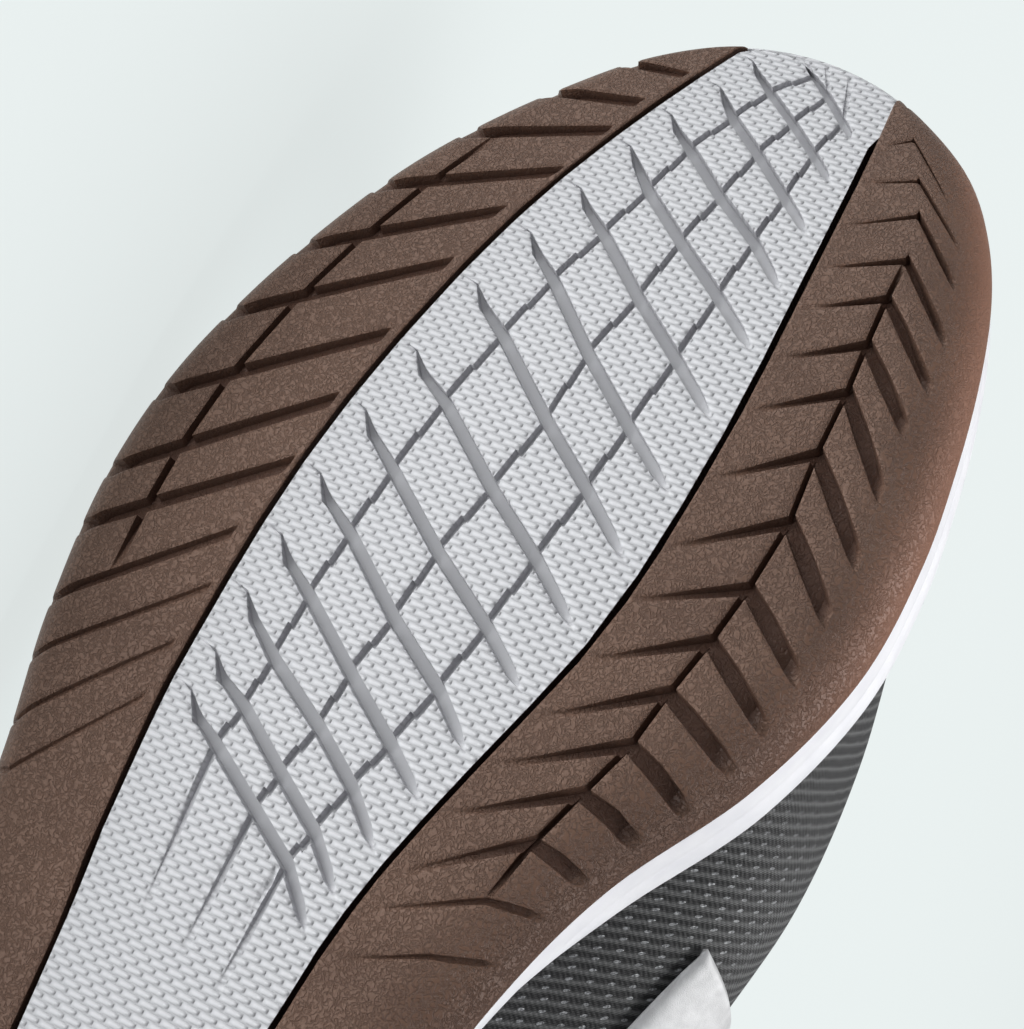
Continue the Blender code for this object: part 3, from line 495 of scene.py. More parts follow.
# smooth coated skin with a faint pebble and slow changes in gloss
def makeCoated(name, colour, roughness):
    look = Look(name, {"Coat Weight": 0.15, "Coat Roughness": 0.35})
    broad = look.noise(look.place(90.0), 5.0)
    darkerTone = tuple(c * 0.82 for c in colour)
    gloss = broad.spread(0.3, 0.7, roughness - 0.08, roughness + 0.08)
    pebble = look.node("TexVoronoi", {"Vector": look.place(1500.0)})
    return look.finish(look.mix(broad.spread(0.35, 0.7), darkerTone, colour), gloss, pebble, 0.00004)


gum, whiteRubber, foam, meshCloth = makeGum(), makeWhiteRubber(), makeFoam(), makeMesh()
lining = makeLining("softLining", (0.045, 0.045, 0.048), 0.9, 0.0002)
cuffKnit = makeLining("cuffKnit", (0.030, 0.030, 0.033), 1.4, 0.0003)
blackSkin = makeCoated("blackSkin", (0.028, 0.028, 0.030), 0.42)
whiteSkin = makeCoated("whiteSkin", (0.82, 0.82, 0.83), 0.36)
laceWeave = makeLining("laceWeave", (0.72, 0.72, 0.74), 0.8, 0.00018)
stitchThread = makeLining("stitchThread", (0.10, 0.10, 0.11), 0.5, 0.0001)
print("materials made")


# how deep a groove cuts at each place: the nearest run of its path, with soft walls
def carve(x, y, path, width, depth):
    deepest = np.zeros_like(x)
    for k in range(len(path) - 1):
        (x0, y0), (x1, y1) = path[k], path[k + 1]
        dx, dy = x1 - x0, y1 - y0
        span = np.hypot(dx, dy)
        along = ((x - x0) * dx + (y - y0) * dy) / span**2
        off = ((x - x0) * dy - (y - y0) * dx) / span
        share = np.clip(along, 0.0, 1.0)
        half = (width[k] + (width[k + 1] - width[k]) * share) / 2
        inside = half - np.hypot(off, (along - share) * span)
        cut = (depth[k] + (depth[k + 1] - depth[k]) * share) * smooth(0.0, 0.45, inside)
        deepest = np.maximum(deepest, cut)
    return deepest


# sole face at places in plan: height, inward normal, tilt of its rounded edge and turn
def soleFace(x, y, turns):
    ex, ey, nx, ny = soleEdge(turns)
    nearest = np.hypot(x[..., None] - ex, y[..., None] - ey).argmin(axis=-1)
    speed = np.hypot(np.gradient(ex, turns), np.gradient(ey, turns))
    aheadX, aheadY = np.gradient(ex, turns) / speed, np.gradient(ey, turns) / speed
    slip = ((x - ex[nearest]) * aheadX[nearest] + (y - ey[nearest]) * aheadY[nearest]) / speed[nearest]
    turn = turns[nearest] + slip
    ex, ey, nx, ny = soleEdge(turn)
    inset = (ex - x) * nx + (ey - y) * ny
    tilt = np.arcsin(np.clip(1 - inset / shoulderWidth(turn), 0.0, 1.0))
    inward = np.stack([-nx * np.sin(tilt), -ny * np.sin(tilt), np.cos(tilt)], axis=-1)
    return treadLine(x) + shoe["gumWrap"] * (1 - np.cos(tilt)), inward, tilt, turn


lug = {
    "wall": 0.16,  # how far a groove's wall leans in
    "rim": 0.32,  # rounded edge of a lug
    "drop": 0.13,  # how much that edge falls
    "gumDepth": 2.3,
    "whiteDepth": 1.9,
    "rimGap": 0.45,
    "rimDepth": 2.3,
    "recess": 0.25,
    "jog": 0.22,
    "sharp": 38.0,  # degrees
    "nose": 2.4,  # how far an arm's front end goes in
    "noseEase": 0.2,
    "inlayGap": 0.3,  # from the white centre's line to the gum and to the white rubber
    "armTurns": (4.0, 120.0, 465),  # first, last and count
    "heelTurns": (111.9, 248.1, 180),
    "heelStep": 2.2,
}


# foot of the wall, top of the wall and end of the rounded edge, from the middle of a groove
def grooveSteps(half):
    return [np.maximum(half - lug["wall"], 0.35 * half), half, half + lug["rim"]]


# places across a gap as shares of it: steps out from each end, held to under half, and plain ones between
def gapShares(span, near, far, plain):
    first = [step / span for step in near] or [np.zeros_like(span)]
    last = [step / span for step in far] or [np.zeros_like(span)]
    nearHold, farHold = (np.minimum(1.0, 0.45 / np.maximum(run[-1], 1e-9)) for run in (first, last))
    first, last = [f * nearHold for f in first], [1 - f * farHold for f in last[::-1]]
    middle = [first[-1] + (last[0] - first[-1]) * share for share in plain]
    return np.stack((first if near else []) + middle + (last if far else []))


# columns of a lug field: each control column may hold a groove; returns places, control numbers, cut, owner
def fieldColumns(controls, halves, fills):
    places, coord, cut, owner = [controls[:, 0]], [np.zeros(len(controls))], [float(halves[0] > 0)], [0]
    top = lug["drop"] / 2.0
    for m, count in enumerate(fills):
        a, b = controls[:, m], controls[:, m + 1]
        span = np.linalg.norm(b - a, axis=1)
        near, far = ([np.full(len(a), s) for s in grooveSteps(h)] if h > 0 else [] for h in halves[m:m + 2])
        shares = gapShares(span, near, far, np.linspace(0, 1, count + 2)[1:-1])
        places += [a + (b - a) * share[:, None] for share in shares] + [b]
        coord += [m + share for share in shares] + [np.full(len(a), m + 1.0)]
        cut += [1.0, top, 0.0][:len(near)] + [0.0] * count + [0.0, top, 1.0][:len(far)]
        cut.append(float(halves[m + 1] > 0))
        owner += [m] * (len(near) + count // 2) + [m + 1] * (count - count // 2 + len(far) + 1)
    return np.stack(places, axis=1), np.stack(coord, axis=1), np.array(cut), np.array(owner)


# a control table's value at control numbers between its columns
def pick(table, coord):
    low = np.minimum(coord.astype(int), table.shape[1] - 2)
    share = coord - low
    return np.take_along_axis(table, low, 1) * (1 - share) + np.take_along_axis(table, low + 1, 1) * share


# rows of a lug field: every line is the middle of a groove, and neighbours are joined straight with plain rows
def fieldRows(lines, half, deep, floor, plain):
    a, b = lines[:-1], lines[1:]
    span = np.maximum(np.linalg.norm(b - a, axis=-1), 1e-6)
    way = (b - a) / span[..., None]
    step = unit(np.diff(lines, axis=1))

    def slant(rows):
        leg = np.abs(way[:, :-1, 0] * rows[..., 1] - way[:, :-1, 1] * rows[..., 0])
        both = np.concatenate([leg[:, :1], leg], axis=1), np.concatenate([leg, leg[:, -1:]], axis=1)
        return np.maximum(np.minimum(*both), 0.4)

    near = [s / slant(step[:-1]) for s in grooveSteps(half[:-1])]
    far = [s / slant(step[1:]) for s in grooveSteps(half[1:])]
    shares = np.concatenate([np.zeros((1, *span.shape)), gapShares(span, near, far, plain)])
    places = a + (b - a) * shares[..., None]
    count, blank = len(plain), np.zeros((len(plain), *span.shape))
    edgeA, edgeB = (np.minimum(deep[k], lug["drop"]) for k in (slice(None, -1), slice(1, None)))
    cut = np.concatenate([
        np.stack([deep[:-1] * floor[1], deep[:-1] * floor[2], edgeA, 0 * edgeA]), blank,
        np.stack([0 * edgeB, edgeB, deep[1:] * floor[0]])])
    number = np.arange(len(a))[None, :, None] + shares

    def inOrder(grid, last):
        return np.concatenate([np.moveaxis(grid, 0, 1).reshape(-1, *grid.shape[2:]), last])

    lastNumber = np.full((1, span.shape[1]), len(a))
    return inOrder(places, lines[-1:]), inOrder(cut, deep[-1:] * floor[1]), inOrder(number, lastNumber)


# depth from the grooves along the columns: each has a factor at every line
def columnCuts(factors, number, cut, owner):
    low = np.minimum(number.astype(int), len(factors) - 2)
    share = number - low
    return cut * (factors[low, owner] * (1 - share) + factors[low + 1, owner] * share)


# rows of closed rings, capped at both ends; edges steeper than the angle stay sharp
def ringPiece(name, points, material, values):
    faces = gridFaces(*points.shape[:2], wrapColumns=True).tolist() + capFaces(*points.shape[:2])
    piece = addMesh(name, points, faces, material, values, uv=points[..., :2])
    piece.data.set_sharp_from_angle(angle=np.radians(lug["sharp"]))
    return piece


# spots on the sole's rounded edge, tilted 0 at the tread and a quarter turn at the side, and their ways in
def edgeAt(turn, tilt):
    x, y, nx, ny = soleEdge(turn, shoulderWidth(turn) * (1 - np.sin(tilt)))
    place = np.stack([x, y, treadLine(x) + shoe["gumWrap"] * (1 - np.cos(tilt))], -1)
    return place, np.stack([-nx * np.sin(tilt), -ny * np.sin(tilt), np.cos(tilt) + 0 * nx], -1)


# the gum's hidden back: over the rim of its side, in under the midsole and on to places at the white centre
def gumBack(turn, x, y):
    spots = []
    for inset, rise in ((0.5, 0.55), (1.4, 0.7)):
        ex, ey = soleEdge(turn, inset)[:2]
        spots.append(np.stack([ex, ey, treadLine(ex) + (shoe["gumWrap"] + rise)], -1))
    for ex, ey in (soleEdge(turn, shoulderWidth(turn))[:2], (x, y)):
        spots.append(np.stack([ex, ey, groundLine(ex) + shoe["tread"]], -1))
    return spots


# one arm of the gum from its lines of controls; at its outer side the rows run on round the edge of the sole
def armPiece(name, side, controls, half, deep, spine, halves, fills, floor, spineAt):
    lines, coord, cut, owner = fieldColumns(controls, halves, fills)
    plain = np.linspace(0, 1, 9)[1:-1]
    plan, rowCut, number = fieldRows(lines, pick(half, coord), pick(deep, coord), floor, plain)
    factors = np.zeros((len(controls), controls.shape[1]))
    factors[:, 0] = lug["rimDepth"]
    factors[:, spineAt] = spine
    depth = np.maximum(rowCut, columnCuts(factors, number, cut, owner))
    # mask of the gap by the white centre, painted near black as shadow
    line = np.broadcast_to((cut > 0.5) & (owner == 0), depth.shape).astype(float)
    x, y = plan[..., 0], plan[..., 1]
    z, inward, tilt, turn = soleFace(x, y, side * np.linspace(*lug["armTurns"]))
    last, lean = turn[:, -1], tilt[:, -1]
    spots, ways, depths, tilts = [np.stack([x, y, z], -1)], [inward], [depth], [tilt]
    for share in np.linspace(0, 1, 15)[1:]:
        angle = lean + (np.pi / 2 - lean) * share
        place, way = edgeAt(last, angle)
        fading = depth[:, -1] * (1 - smooth(0.0, 0.6, share))
        for kept, column in ((spots, place), (ways, way), (depths, fading), (tilts, angle)):
            kept.append(column[:, None])
    spots += [spot[:, None] for spot in gumBack(last, x[:, 0], y[:, 0])]
    for kept in (ways, depths, tilts):
        kept.append(np.zeros((len(x), 4, *kept[0].shape[2:])))
    points, ways, depths, tilts = (np.concatenate(kept, axis=1) for kept in (spots, ways, depths, tilts))
    line = np.concatenate([line, np.zeros((len(x), points.shape[1] - line.shape[1]))], axis=1)
    points = points + ways * depths[..., None]
    nose = points[0] + ways[0] * (lug["nose"] - np.minimum(depths[0], lug["nose"]))[..., None]
    nose[-4:] = points[0, -4:]
    points[0] += ways[0] * lug["noseEase"]
    points = np.concatenate([nose[None], points])
    depths, tilts, line, run = (np.concatenate([grid[:1], grid]) for grid in (depths, tilts, line, last))
    # painted light on the shoulder round the ball, growing as the edge tilts up
    ball = smooth(0, 30, run) * (1 - smooth(62, 80, run))
    paintedShoulderLight = 0.8 * smooth(0.45, 1.35, tilts) * ball[:, None]
    # painted shade: the gap's columns near black, and the shoulder behind the ball darker as it tilts up
    line = np.maximum(line, 0.30 * smooth(0.35, 1.2, tilts) * smooth(60, 78, run)[:, None])
    # the groove mask weakens the grain and darkens the floors as painted shade
    piece = ringPiece(name, points, gum, {"groove": smooth(0.3, 1.4, depths), "paintedShoulderLight": paintedShoulderLight, "line": line})
    return finishPiece(piece, "gum_rubber", "outsole_gum")


# a plain line across an arm from one turn at the white centre to another at the sole's edge
def plainLine(turn, count, nearTurn=None):
    near = np.stack(inlayRing(np.array(nearTurn or turn), lug["inlayGap"]))
    far = np.stack(soleEdge(np.array(turn), 0.6 * shoulderWidth(np.array(turn)))[:2])
    return near + (far - near) * np.linspace(0, 1, count)[:, None]


# chevrons of the inner arm, front to back: apex, then inner and outer end of the legs from it, in millimetres
chevronTable = np.array([
    (280.0, 24.6, -2.2, -2.7, -8.0, 9.0), (273.0, 29.0, -3.0, -6.0, -8.0, 9.9),
    (267.0, 32.0, -5.0, -7.4, -9.0, 9.9), (259.0, 34.3, -5.0, -8.5, -10.0, 10.7),
    (252.0, 35.0, -5.0, -7.7, -11.0, 11.9), (244.0, 36.2, -6.0, -8.3, -10.0, 10.7),
    (236.0, 37.5, -7.0, -9.3, -12.0, 11.1), (226.0, 38.4, -8.0, -9.5, -12.0, 12.1),
    (215.6, 40.0, -9.0, -11.6, -10.0, 10.6), (205.2, 39.7, -7.0, -11.9, -8.0, 11.0),
    (196.9, 38.8, -8.0, -11.9, -7.0, 11.0), (188.7, 37.3, -9.0, -12.2, -5.0, 11.0),
    (180.7, 36.3, -9.0, -13.3, -4.0, 10.6), (172.7, 33.9, -9.0, -13.0, -2.0, 11.0),
    (164.7, 31.5, -10.0, -12.5, -1.0, 10.2), (156.0, 29.8, -7.0, -12.1, 1.5, 9.5),
    (147.0, 26.5, -5.0, -9.7, 3.0, 9.0)])
# half width of the inner leg's end, its middle, the apex, the outer leg and its end, and the depths, as shares
chevronWide = np.array([0.20, 0.20, 0.70, 0.84, 0.80, 0.60])
chevronDeep = np.array([0.0, 0.05, 1.0, 1.0, 0.95, 0.0])


# a share for each control row: interpolated over the lugs, 0 on the two plain rows before and four after them
def rowShares(count, at, values):
    return np.concatenate([np.zeros(2), np.interp(np.arange(count), at, values), np.zeros(4)])


def innerArm():
    apex, inner, outer = (chevronTable[:, k:k + 2] for k in (0, 2, 4))
    end = apex + inner
    gap = end[:, 1] - inlayAt(end[:, 0], 1)
    edgeX = end[:, 0] + inner[:, 0] / np.abs(inner[:, 1]) * gap
    edge = np.stack([edgeX, inlayAt(edgeX, 1) + lug["inlayGap"]], -1)
    rows = np.stack([edge, end, apex, apex + outer * 0.42, apex + outer * 0.84, apex + outer], axis=1)
    rows[:, 3:, 1] = np.minimum(rows[:, 3:, 1], outlineAt(rows[:, 3:, 0], 1) - np.array([4.8, 2.6, 1.2]))
    front = [plainLine(13.4, 6, 11.6), plainLine(16.5, 6, 14.2)]
    back = [plainLine(turn, 6) for turn in (94.0, 99.0, 105.0, 112.0)]
    controls = np.concatenate([front, rows, back])
    grow = rowShares(17, [0, 1, 2, 3, 5, 8, 13, 14, 15, 16], [0.22, 0.30, 0.42, 0.6, 0.85, 1, 1, 0.9, 0.45, 0.35])
    sink = rowShares(17, [0, 1, 2, 4, 13, 15, 16], [0.35, 0.5, 0.75, 1, 1, 0.5, 0.4])
    half = np.maximum(1.45 * grow[:, None] * chevronWide, 0.04)
    deep = lug["gumDepth"] * sink[:, None] * chevronDeep
    spine = lug["gumDepth"] * np.concatenate([np.zeros(6), np.full(11, 0.92), np.zeros(6)])
    halves = [lug["rimGap"], 0, 0.52, 0, 0, 0]
    armPiece("gumInnerArm", 1.0, controls, half, deep, spine, halves, [4, 8, 6, 5, 3], (1.0, 0.95, 0.75), 2)


# grooves across the outer arm: outer end, then inner end
crossTable = np.array([
    (278.0, -21.2, 279.0, -12.7), (268.0, -28.9, 271.0, -15.8), (256.0, -34.5, 264.0, -16.8),
    (242.0, -41.0, 254.0, -19.0), (228.0, -45.1, 244.0, -22.7), (214.0, -48.3, 233.0, -24.2),
    (199.0, -50.0, 219.0, -25.7), (186.0, -50.0, 207.0, -26.6), (177.0, -49.0, 196.0, -26.8),
    (166.0, -47.0, 184.0, -28.5), (158.0, -44.6, 176.0, -26.9), (149.0, -42.4, 167.0, -26.9),
    (143.0, -38.6, 159.0, -26.3)])


def outerArm():
    outer, end = crossTable[:, :2], crossTable[:, 2:]
    slope = (end[:, 0] - outer[:, 0]) / (end[:, 1] - outer[:, 1])
    edgeX = end[:, 0] + slope * (inlayAt(end[:, 0], -1) - end[:, 1])
    edge = np.stack([edgeX, inlayAt(edgeX, -1) - lug["inlayGap"]], -1)

    def across(spot):
        near, far = inlayAt(spot[:, 0], -1), outlineAt(spot[:, 0], -1)
        return (spot[:, 1] - near) / (far - near)

    share = (0.62 - across(end)) / (across(outer) - across(end))
    middle = end + (outer - end) * np.clip(share, 0.3, 0.8)[:, None]
    toEdge = edge - end
    stop = end + toEdge * (0.9 / np.linalg.norm(toEdge, axis=1))[:, None]
    rows = np.stack([edge, stop, end, middle, outer], axis=1)
    controls = np.concatenate([[plainLine(-10.5, 5), plainLine(-14.5, 5)], rows,
                               [plainLine(turn, 5) for turn in (-93.0, -98.0, -104.0, -112.0)]])
    grow = rowShares(13, [0, 1, 8, 9, 10, 12], [0.8, 1, 1, 0.7, 0.45, 0.3])
    half = np.maximum(1.15 * grow[:, None] * np.array([0.40, 0.80, 0.90, 1.0, 0.95]), 0.04)
    deep = lug["gumDepth"] * grow[:, None] * np.array([0.0, 0.0, 0.62, 0.9, 1.0])
    spine = lug["gumDepth"] * np.concatenate([np.zeros(5), np.full(6, 0.85), np.zeros(8)])
    halves = [lug["rimGap"], 0, 0, 0.75, 0]
    armPiece("gumOuterArm", -1.0, controls, half, deep, spine, halves, [4, 2, 10, 10], (1.0, 0.95, 0.85), 3)


# plain heel part of the horseshoe: section from the inlay's edge over the tread and round the rounded edge
def gumHeel():
    turn = np.linspace(*lug["heelTurns"])
    ix, iy = inlayRing((turn + 180.0) % 360.0 - 180.0, lug["inlayGap"])
    sx, sy = soleEdge(turn, shoulderWidth(turn))[:2]
    columns = [np.stack([ix, iy, treadLine(ix) + lug["heelStep"]], -1)]
    for share in np.linspace(0.05, 1, 16):
        x, y = ix + (sx - ix) * share, iy + (sy - iy) * share
        columns.append(np.stack([x, y, treadLine(x)], -1))
    columns += [edgeAt(turn, tilt)[0] for tilt in np.linspace(0, np.pi / 2, 14)[1:]]
    points = np.stack(columns + gumBack(turn, ix, iy), axis=1)
    blank = np.zeros(points.shape[:2])
    return finishPiece(ringPiece("gumHeel", points, gum, {"groove": blank, "paintedShoulderLight": blank, "line": blank}),
                       "gum_rubber", "outsole_gum")


innerArm()
outerArm()
gumHeel()
print("gum sole made")

# slanting grooves of the white centre, front to back: tip of the hook, three crossings, inner end
diagonalTable = np.array([
    (290.0, 1.5, 286.8, 5.0, 283.5, 9.0, 279.5, 13.6, 277.0, 16.5),
    (286.0, -4.8, 281.0, 1.0, 276.5, 7.2, 272.0, 13.0, 268.0, 18.0),
    (279.0, -6.2, 274.0, -1.1, 269.0, 5.8, 263.0, 13.5, 258.0, 19.8),
    (271.0, -9.6, 266.0, -3.5, 259.5, 5.2, 254.0, 13.7, 247.5, 21.5),
    (263.0, -11.6, 256.5, -4.7, 250.0, 4.4, 243.5, 14.0, 237.0, 23.0),
    (253.0, -13.8, 247.0, -6.3, 239.0, 4.1, 232.0, 14.1, 225.0, 23.7),
    (243.0, -15.9, 237.0, -8.4, 228.0, 2.7, 220.0, 13.8, 213.0, 24.1),
    (232.0, -17.9, 226.0, -9.9, 216.5, 3.0, 209.5, 13.4, 202.0, 23.8),
    (219.0, -19.7, 213.5, -11.5, 204.5, 1.6, 198.0, 12.4, 191.0, 22.4),
    (208.0, -21.2, 201.5, -12.4, 193.5, -0.2, 187.0, 11.4, 181.0, 20.4),
    (197.0, -21.6, 191.0, -12.8, 183.0, -0.7, 177.0, 10.0, 171.0, 18.0),
    (187.0, -21.6, 181.0, -13.1, 174.0, -1.9, 168.0, 8.2, 163.0, 16.0),
    (178.0, -21.4, 171.5, -12.7, 166.0, -1.8, 161.0, 6.6, 155.0, 14.0),
    (169.0, -20.6, 164.0, -12.5, 158.5, -3.0, 154.0, 5.1, 148.0, 12.2),
    (163.0, -20.6, 158.0, -13.1, 153.0, -3.6, 149.0, 4.0, 142.5, 11.2)])
diagonalWide = np.array([0.05, 0.14, 0.66, 0.98, 1.0, 1.0, 0.85, 0.12, 0.05])
diagonalDeep = np.array([0.0, 0.3, 1.0, 1.0, 1.0, 1.0, 0.6, 0.0, 0.0])
fanLines = [((159.0, -13.7), (135.0, -10.7)), ((150.0, -3.4), (135.0, -5.0)), ((146.0, 3.3), (137.0, 1.3))]
plainShares = np.array([0.0, 0.08, 0.14, 0.27, 0.52, 0.74, 0.86, 0.95, 1.0])


# the white rubber's edge on one side
def whiteEdge(x, side):
    return inlayAt(x, side) - side * lug["inlayGap"]


def plainRow(x):
    low, high = whiteEdge(x, -1), whiteEdge(x, 1)
    return np.stack([np.full(9, x), low + (high - low) * plainShares], -1)


# the white centre: rows follow the slanting grooves, columns the three lengthways ones; in front the rows
# run round the toe's edge, behind they straighten out and end in the round heel end
def whiteCentre():
    spots = diagonalTable.reshape(-1, 5, 2)
    size = np.interp(np.arange(15), [0, 1, 2, 4], [0.70, 0.80, 0.9, 1.0])[:, None]
    tip, end = spots[:, 0], spots[:, 4]
    bend = tip + np.array([-2.6, 2.5]) * size
    late = spots[:, 3] * 0.35 + end * 0.65
    low = np.stack([tip[:, 0] + 0.8, whiteEdge(tip[:, 0] + 0.8, -1)], -1)
    low[0] = (291.0, -2.2)
    high = np.stack([end[:, 0] - 0.9, whiteEdge(end[:, 0] - 0.9, 1)], -1)
    rows = np.stack([low, tip, bend, spots[:, 1], spots[:, 2], spots[:, 3], late, end, high], axis=1)
    endTurn = np.array([-9.0, -6.5, -4.0, -1.5, 2.0, 5.5, 8.5, 11.5, 14.5])
    front = np.stack(soleEdge(endTurn, shoulderWidth(endTurn) * 0.98)[:2], -1)
    slide = plainRow(128.0) + np.stack([np.linspace(14, -4, 9), np.zeros(9)], -1)
    slide[0, 1], slide[-1, 1] = whiteEdge(slide[0, 0], -1), whiteEdge(slide[-1, 0], 1)
    heel = shoe["inlayHeel"] * shoe["length"] + lug["inlayGap"]
    reach = heel + (100.0 - heel) * (1 - np.sin(np.linspace(0, np.pi / 2, 16)))
    back = [slide] + [plainRow(x) for x in (112.0, *reach)]
    controls = np.concatenate([front[None], rows, back])
    blank, rear = np.zeros((1, 1)), np.zeros((len(back), 1))
    grown = np.concatenate([blank, size, rear])
    half = np.maximum(0.95 * grown * diagonalWide, 0.04)
    sink = np.interp(np.arange(15), [0, 1, 3], [0.8, 0.9, 1])[:, None]
    deep = lug["whiteDepth"] * np.concatenate([blank, sink, rear]) * diagonalDeep
    halves, fills = [0, 0, 0, 0.60, 0.60, 0.60, 0, 0, 0], [3, 2, 3, 12, 12, 5, 3, 2]
    lines, coord, cut, owner = fieldColumns(controls, halves, fills)
    plain = (0.12, 0.25, 0.38, 0.485, 0.515, 0.62, 0.75, 0.88)
    plan, rowCut, number = fieldRows(lines, pick(half, coord), pick(deep, coord), (1.0, 1.0, 1.0), plain)
    factors = np.zeros((len(controls), 9))
    factors[:16, 3:6] = lug["whiteDepth"] * np.concatenate([[0.0, 0.45], np.full(14, 0.62)])[:, None]
    depth = np.maximum(rowCut, columnCuts(factors, number, cut, owner))
    inCell = number - np.floor(number)
    grooved = (cut > 0) | np.roll(cut > 0, 1) | np.roll(cut > 0, -1)
    crossing = ((owner >= 3) & (owner <= 5) & grooved).astype(float)
    along = unit(np.gradient(plan, axis=1))
    active = (number > 1.0) & (number < 15.0)
    plan = plan + along * (lug["jog"] * np.where(inCell < 0.5, 1.0, -1.0) * crossing * active)[..., None]
    x, y = plan[..., 0], plan[..., 1]
    for path in fanLines:
        depth = np.maximum(depth, carve(x, y, path, [1.0, 0.3], [0.6, 0.1]))
    z, inward, tilt, _ = soleFace(x, y, np.linspace(-179.0, 180.0, 720))
    flatPart = x < 150
    z = np.where(flatPart, treadLine(x), z)
    inward = np.where(flatPart[..., None], np.array([0.0, 0.0, 1.0]), inward)
    points = np.stack([x, y, z], -1) + inward * (depth + lug["recess"])[..., None]
    frontTurn = np.interp(coord[0], np.arange(9), endTurn)
    rounds = [edgeAt(frontTurn, angle) for angle in np.linspace(np.pi / 2, 0.05, 12)]
    points = np.concatenate([np.array([place + way * lug["recess"] for place, way in rounds]), points])
    # the groove mask greys the floors as painted shade and flattens the pads there
    groove = np.concatenate([np.zeros((12, depth.shape[1])), smooth(0.3, 0.9, depth)])
    side = []
    for column, down in ((-1, 0.12), (-1, 2.3), (0, 2.3), (0, 0.12)):
        spot = points[:, column].copy()
        spot[:, 2] = np.minimum(spot[:, 2] + down, groundLine(spot[:, 0]) + shoe["tread"] + shoe["gumWrap"])
        side.append(spot[:, None])
    ring = np.concatenate([points, *side], axis=1)
    blank = np.zeros((len(groove), 4))
    # painted shadow: the side wall columns made near black where they show in the gap by the gum
    edge = np.concatenate([np.zeros_like(groove), blank + 1.0], axis=1)
    edge[ring[..., 0] > 280.0] = 0.0
    groove = np.concatenate([groove, blank], axis=1)
    piece = ringPiece("whiteCentre", ring, whiteRubber, {"groove": groove, "edge": edge})
    return finishPiece(piece, "white_rubber", "outsole_centre")


whiteCentre()
print("white centre made")


# quads across a closed loop from one side to the other
def ladderFaces(first, count):
    faces = [[first, first + 1, first + count - 1]]
    for k in range(1, count // 2):
        corners = [first + k, first + k + 1, first + count - k - 1, first + count - k]
        faces.append(list(dict.fromkeys(corners)))
    return faces


# stacked closed loops, laddered shut at both ends
def slabPiece(name, loops, material, values=None, uv=None):
    points = np.stack(loops)
    rows, count = points.shape[:2]
    faces = gridFaces(rows, count, wrapColumns=True).tolist()
    faces += ladderFaces(0, count) + ladderFaces((rows - 1) * count, count)
    return addMesh(name, points, faces, material, values, uv)


allRound = lambda count: (np.arange(count) * 360.0 / count + 180.0) % 360.0 - 180.0
# up the midsole's wall: share of its height, share of the lean, way in at its step
midsoleTable = np.array([
    (0.00, 0.00, 0.10), (0.04, 0.00, 0.00), (0.12, 0.03, 0.00), (0.25, 0.10, 0.12), (0.38, 0.18, 0.15),
    (0.46, 0.24, 0.05), (0.50, 0.28, 0.45), (0.54, 0.33, 0.62), (0.62, 0.42, 0.55), (0.67, 0.47, 0.15),
    (0.80, 0.66, 0.00), (0.92, 0.86, 0.05), (0.97, 0.93, 0.35), (1.00, 1.00, 1.00)])


def midsole():
    turn = allRound(720)
    fuller = 1 - 0.85 * smooth(15, 35, turn) * (1 - smooth(74, 97, turn))
    lean = shoe["ballWidth"] * roundShoe(leanTable, 1, 2, turn) * fuller
    edgeX = soleEdge(turn)[0]
    low, bed = treadLine(edgeX) + shoe["gumWrap"] + 1.3, footBed(edgeX)
    loops = []

    def put(inset, height):
        x, y = soleEdge(turn, inset)[:2]
        loops.append(np.stack([x, y, height + 0 * x], -1))

    put(shoulderWidth(turn) + 0.5, groundLine(edgeX) + shoe["tread"] + 0.6)
    put(1.9, low - 0.05)
    for share, leaning, step in midsoleTable:
        put(shoe["sideStep"] * (0.75 + step) + lean * leaning, low + (bed - low) * share)
    put(lean + 6.0, bed)
    piece = slabPiece("midsoleFoam", loops, foam)
    return finishPiece(piece, "white_foam", "midsole")


def insole():
    turn = allRound(240)
    lean = shoe["ballWidth"] * roundShoe(leanTable, 1, 2, turn) + shoe["wall"] / 2
    loops = []
    for inset, rise in ((4.6, 0.3), (4.4, 1.6), (4.5, 3.3), (5.2, 3.9), (7.0, 4.0)):
        x, y = soleEdge(turn, lean + inset)[:2]
        loops.append(np.stack([x, y, footBed(x) + rise], -1))
    piece = slabPiece("sockLiner", loops, lining, uv=np.stack(loops)[..., :2])
    return finishPiece(piece, "lining", "insole")


midsole()
insole()
print("midsole and insole made")

upperLook = {
    "columns": 480,
    "rows": 72,
    "creases": ((178.0, 3.2, 0.55), (190.0, 3.8, 0.80), (203.0, 4.2, 0.60)),  # x, half width, depth
    "glintTop": 0.30,
    "innerRows": 20,
    "rimRise": 0.8,
}
nearTop = 0.985  # share up the wall where the overlays end


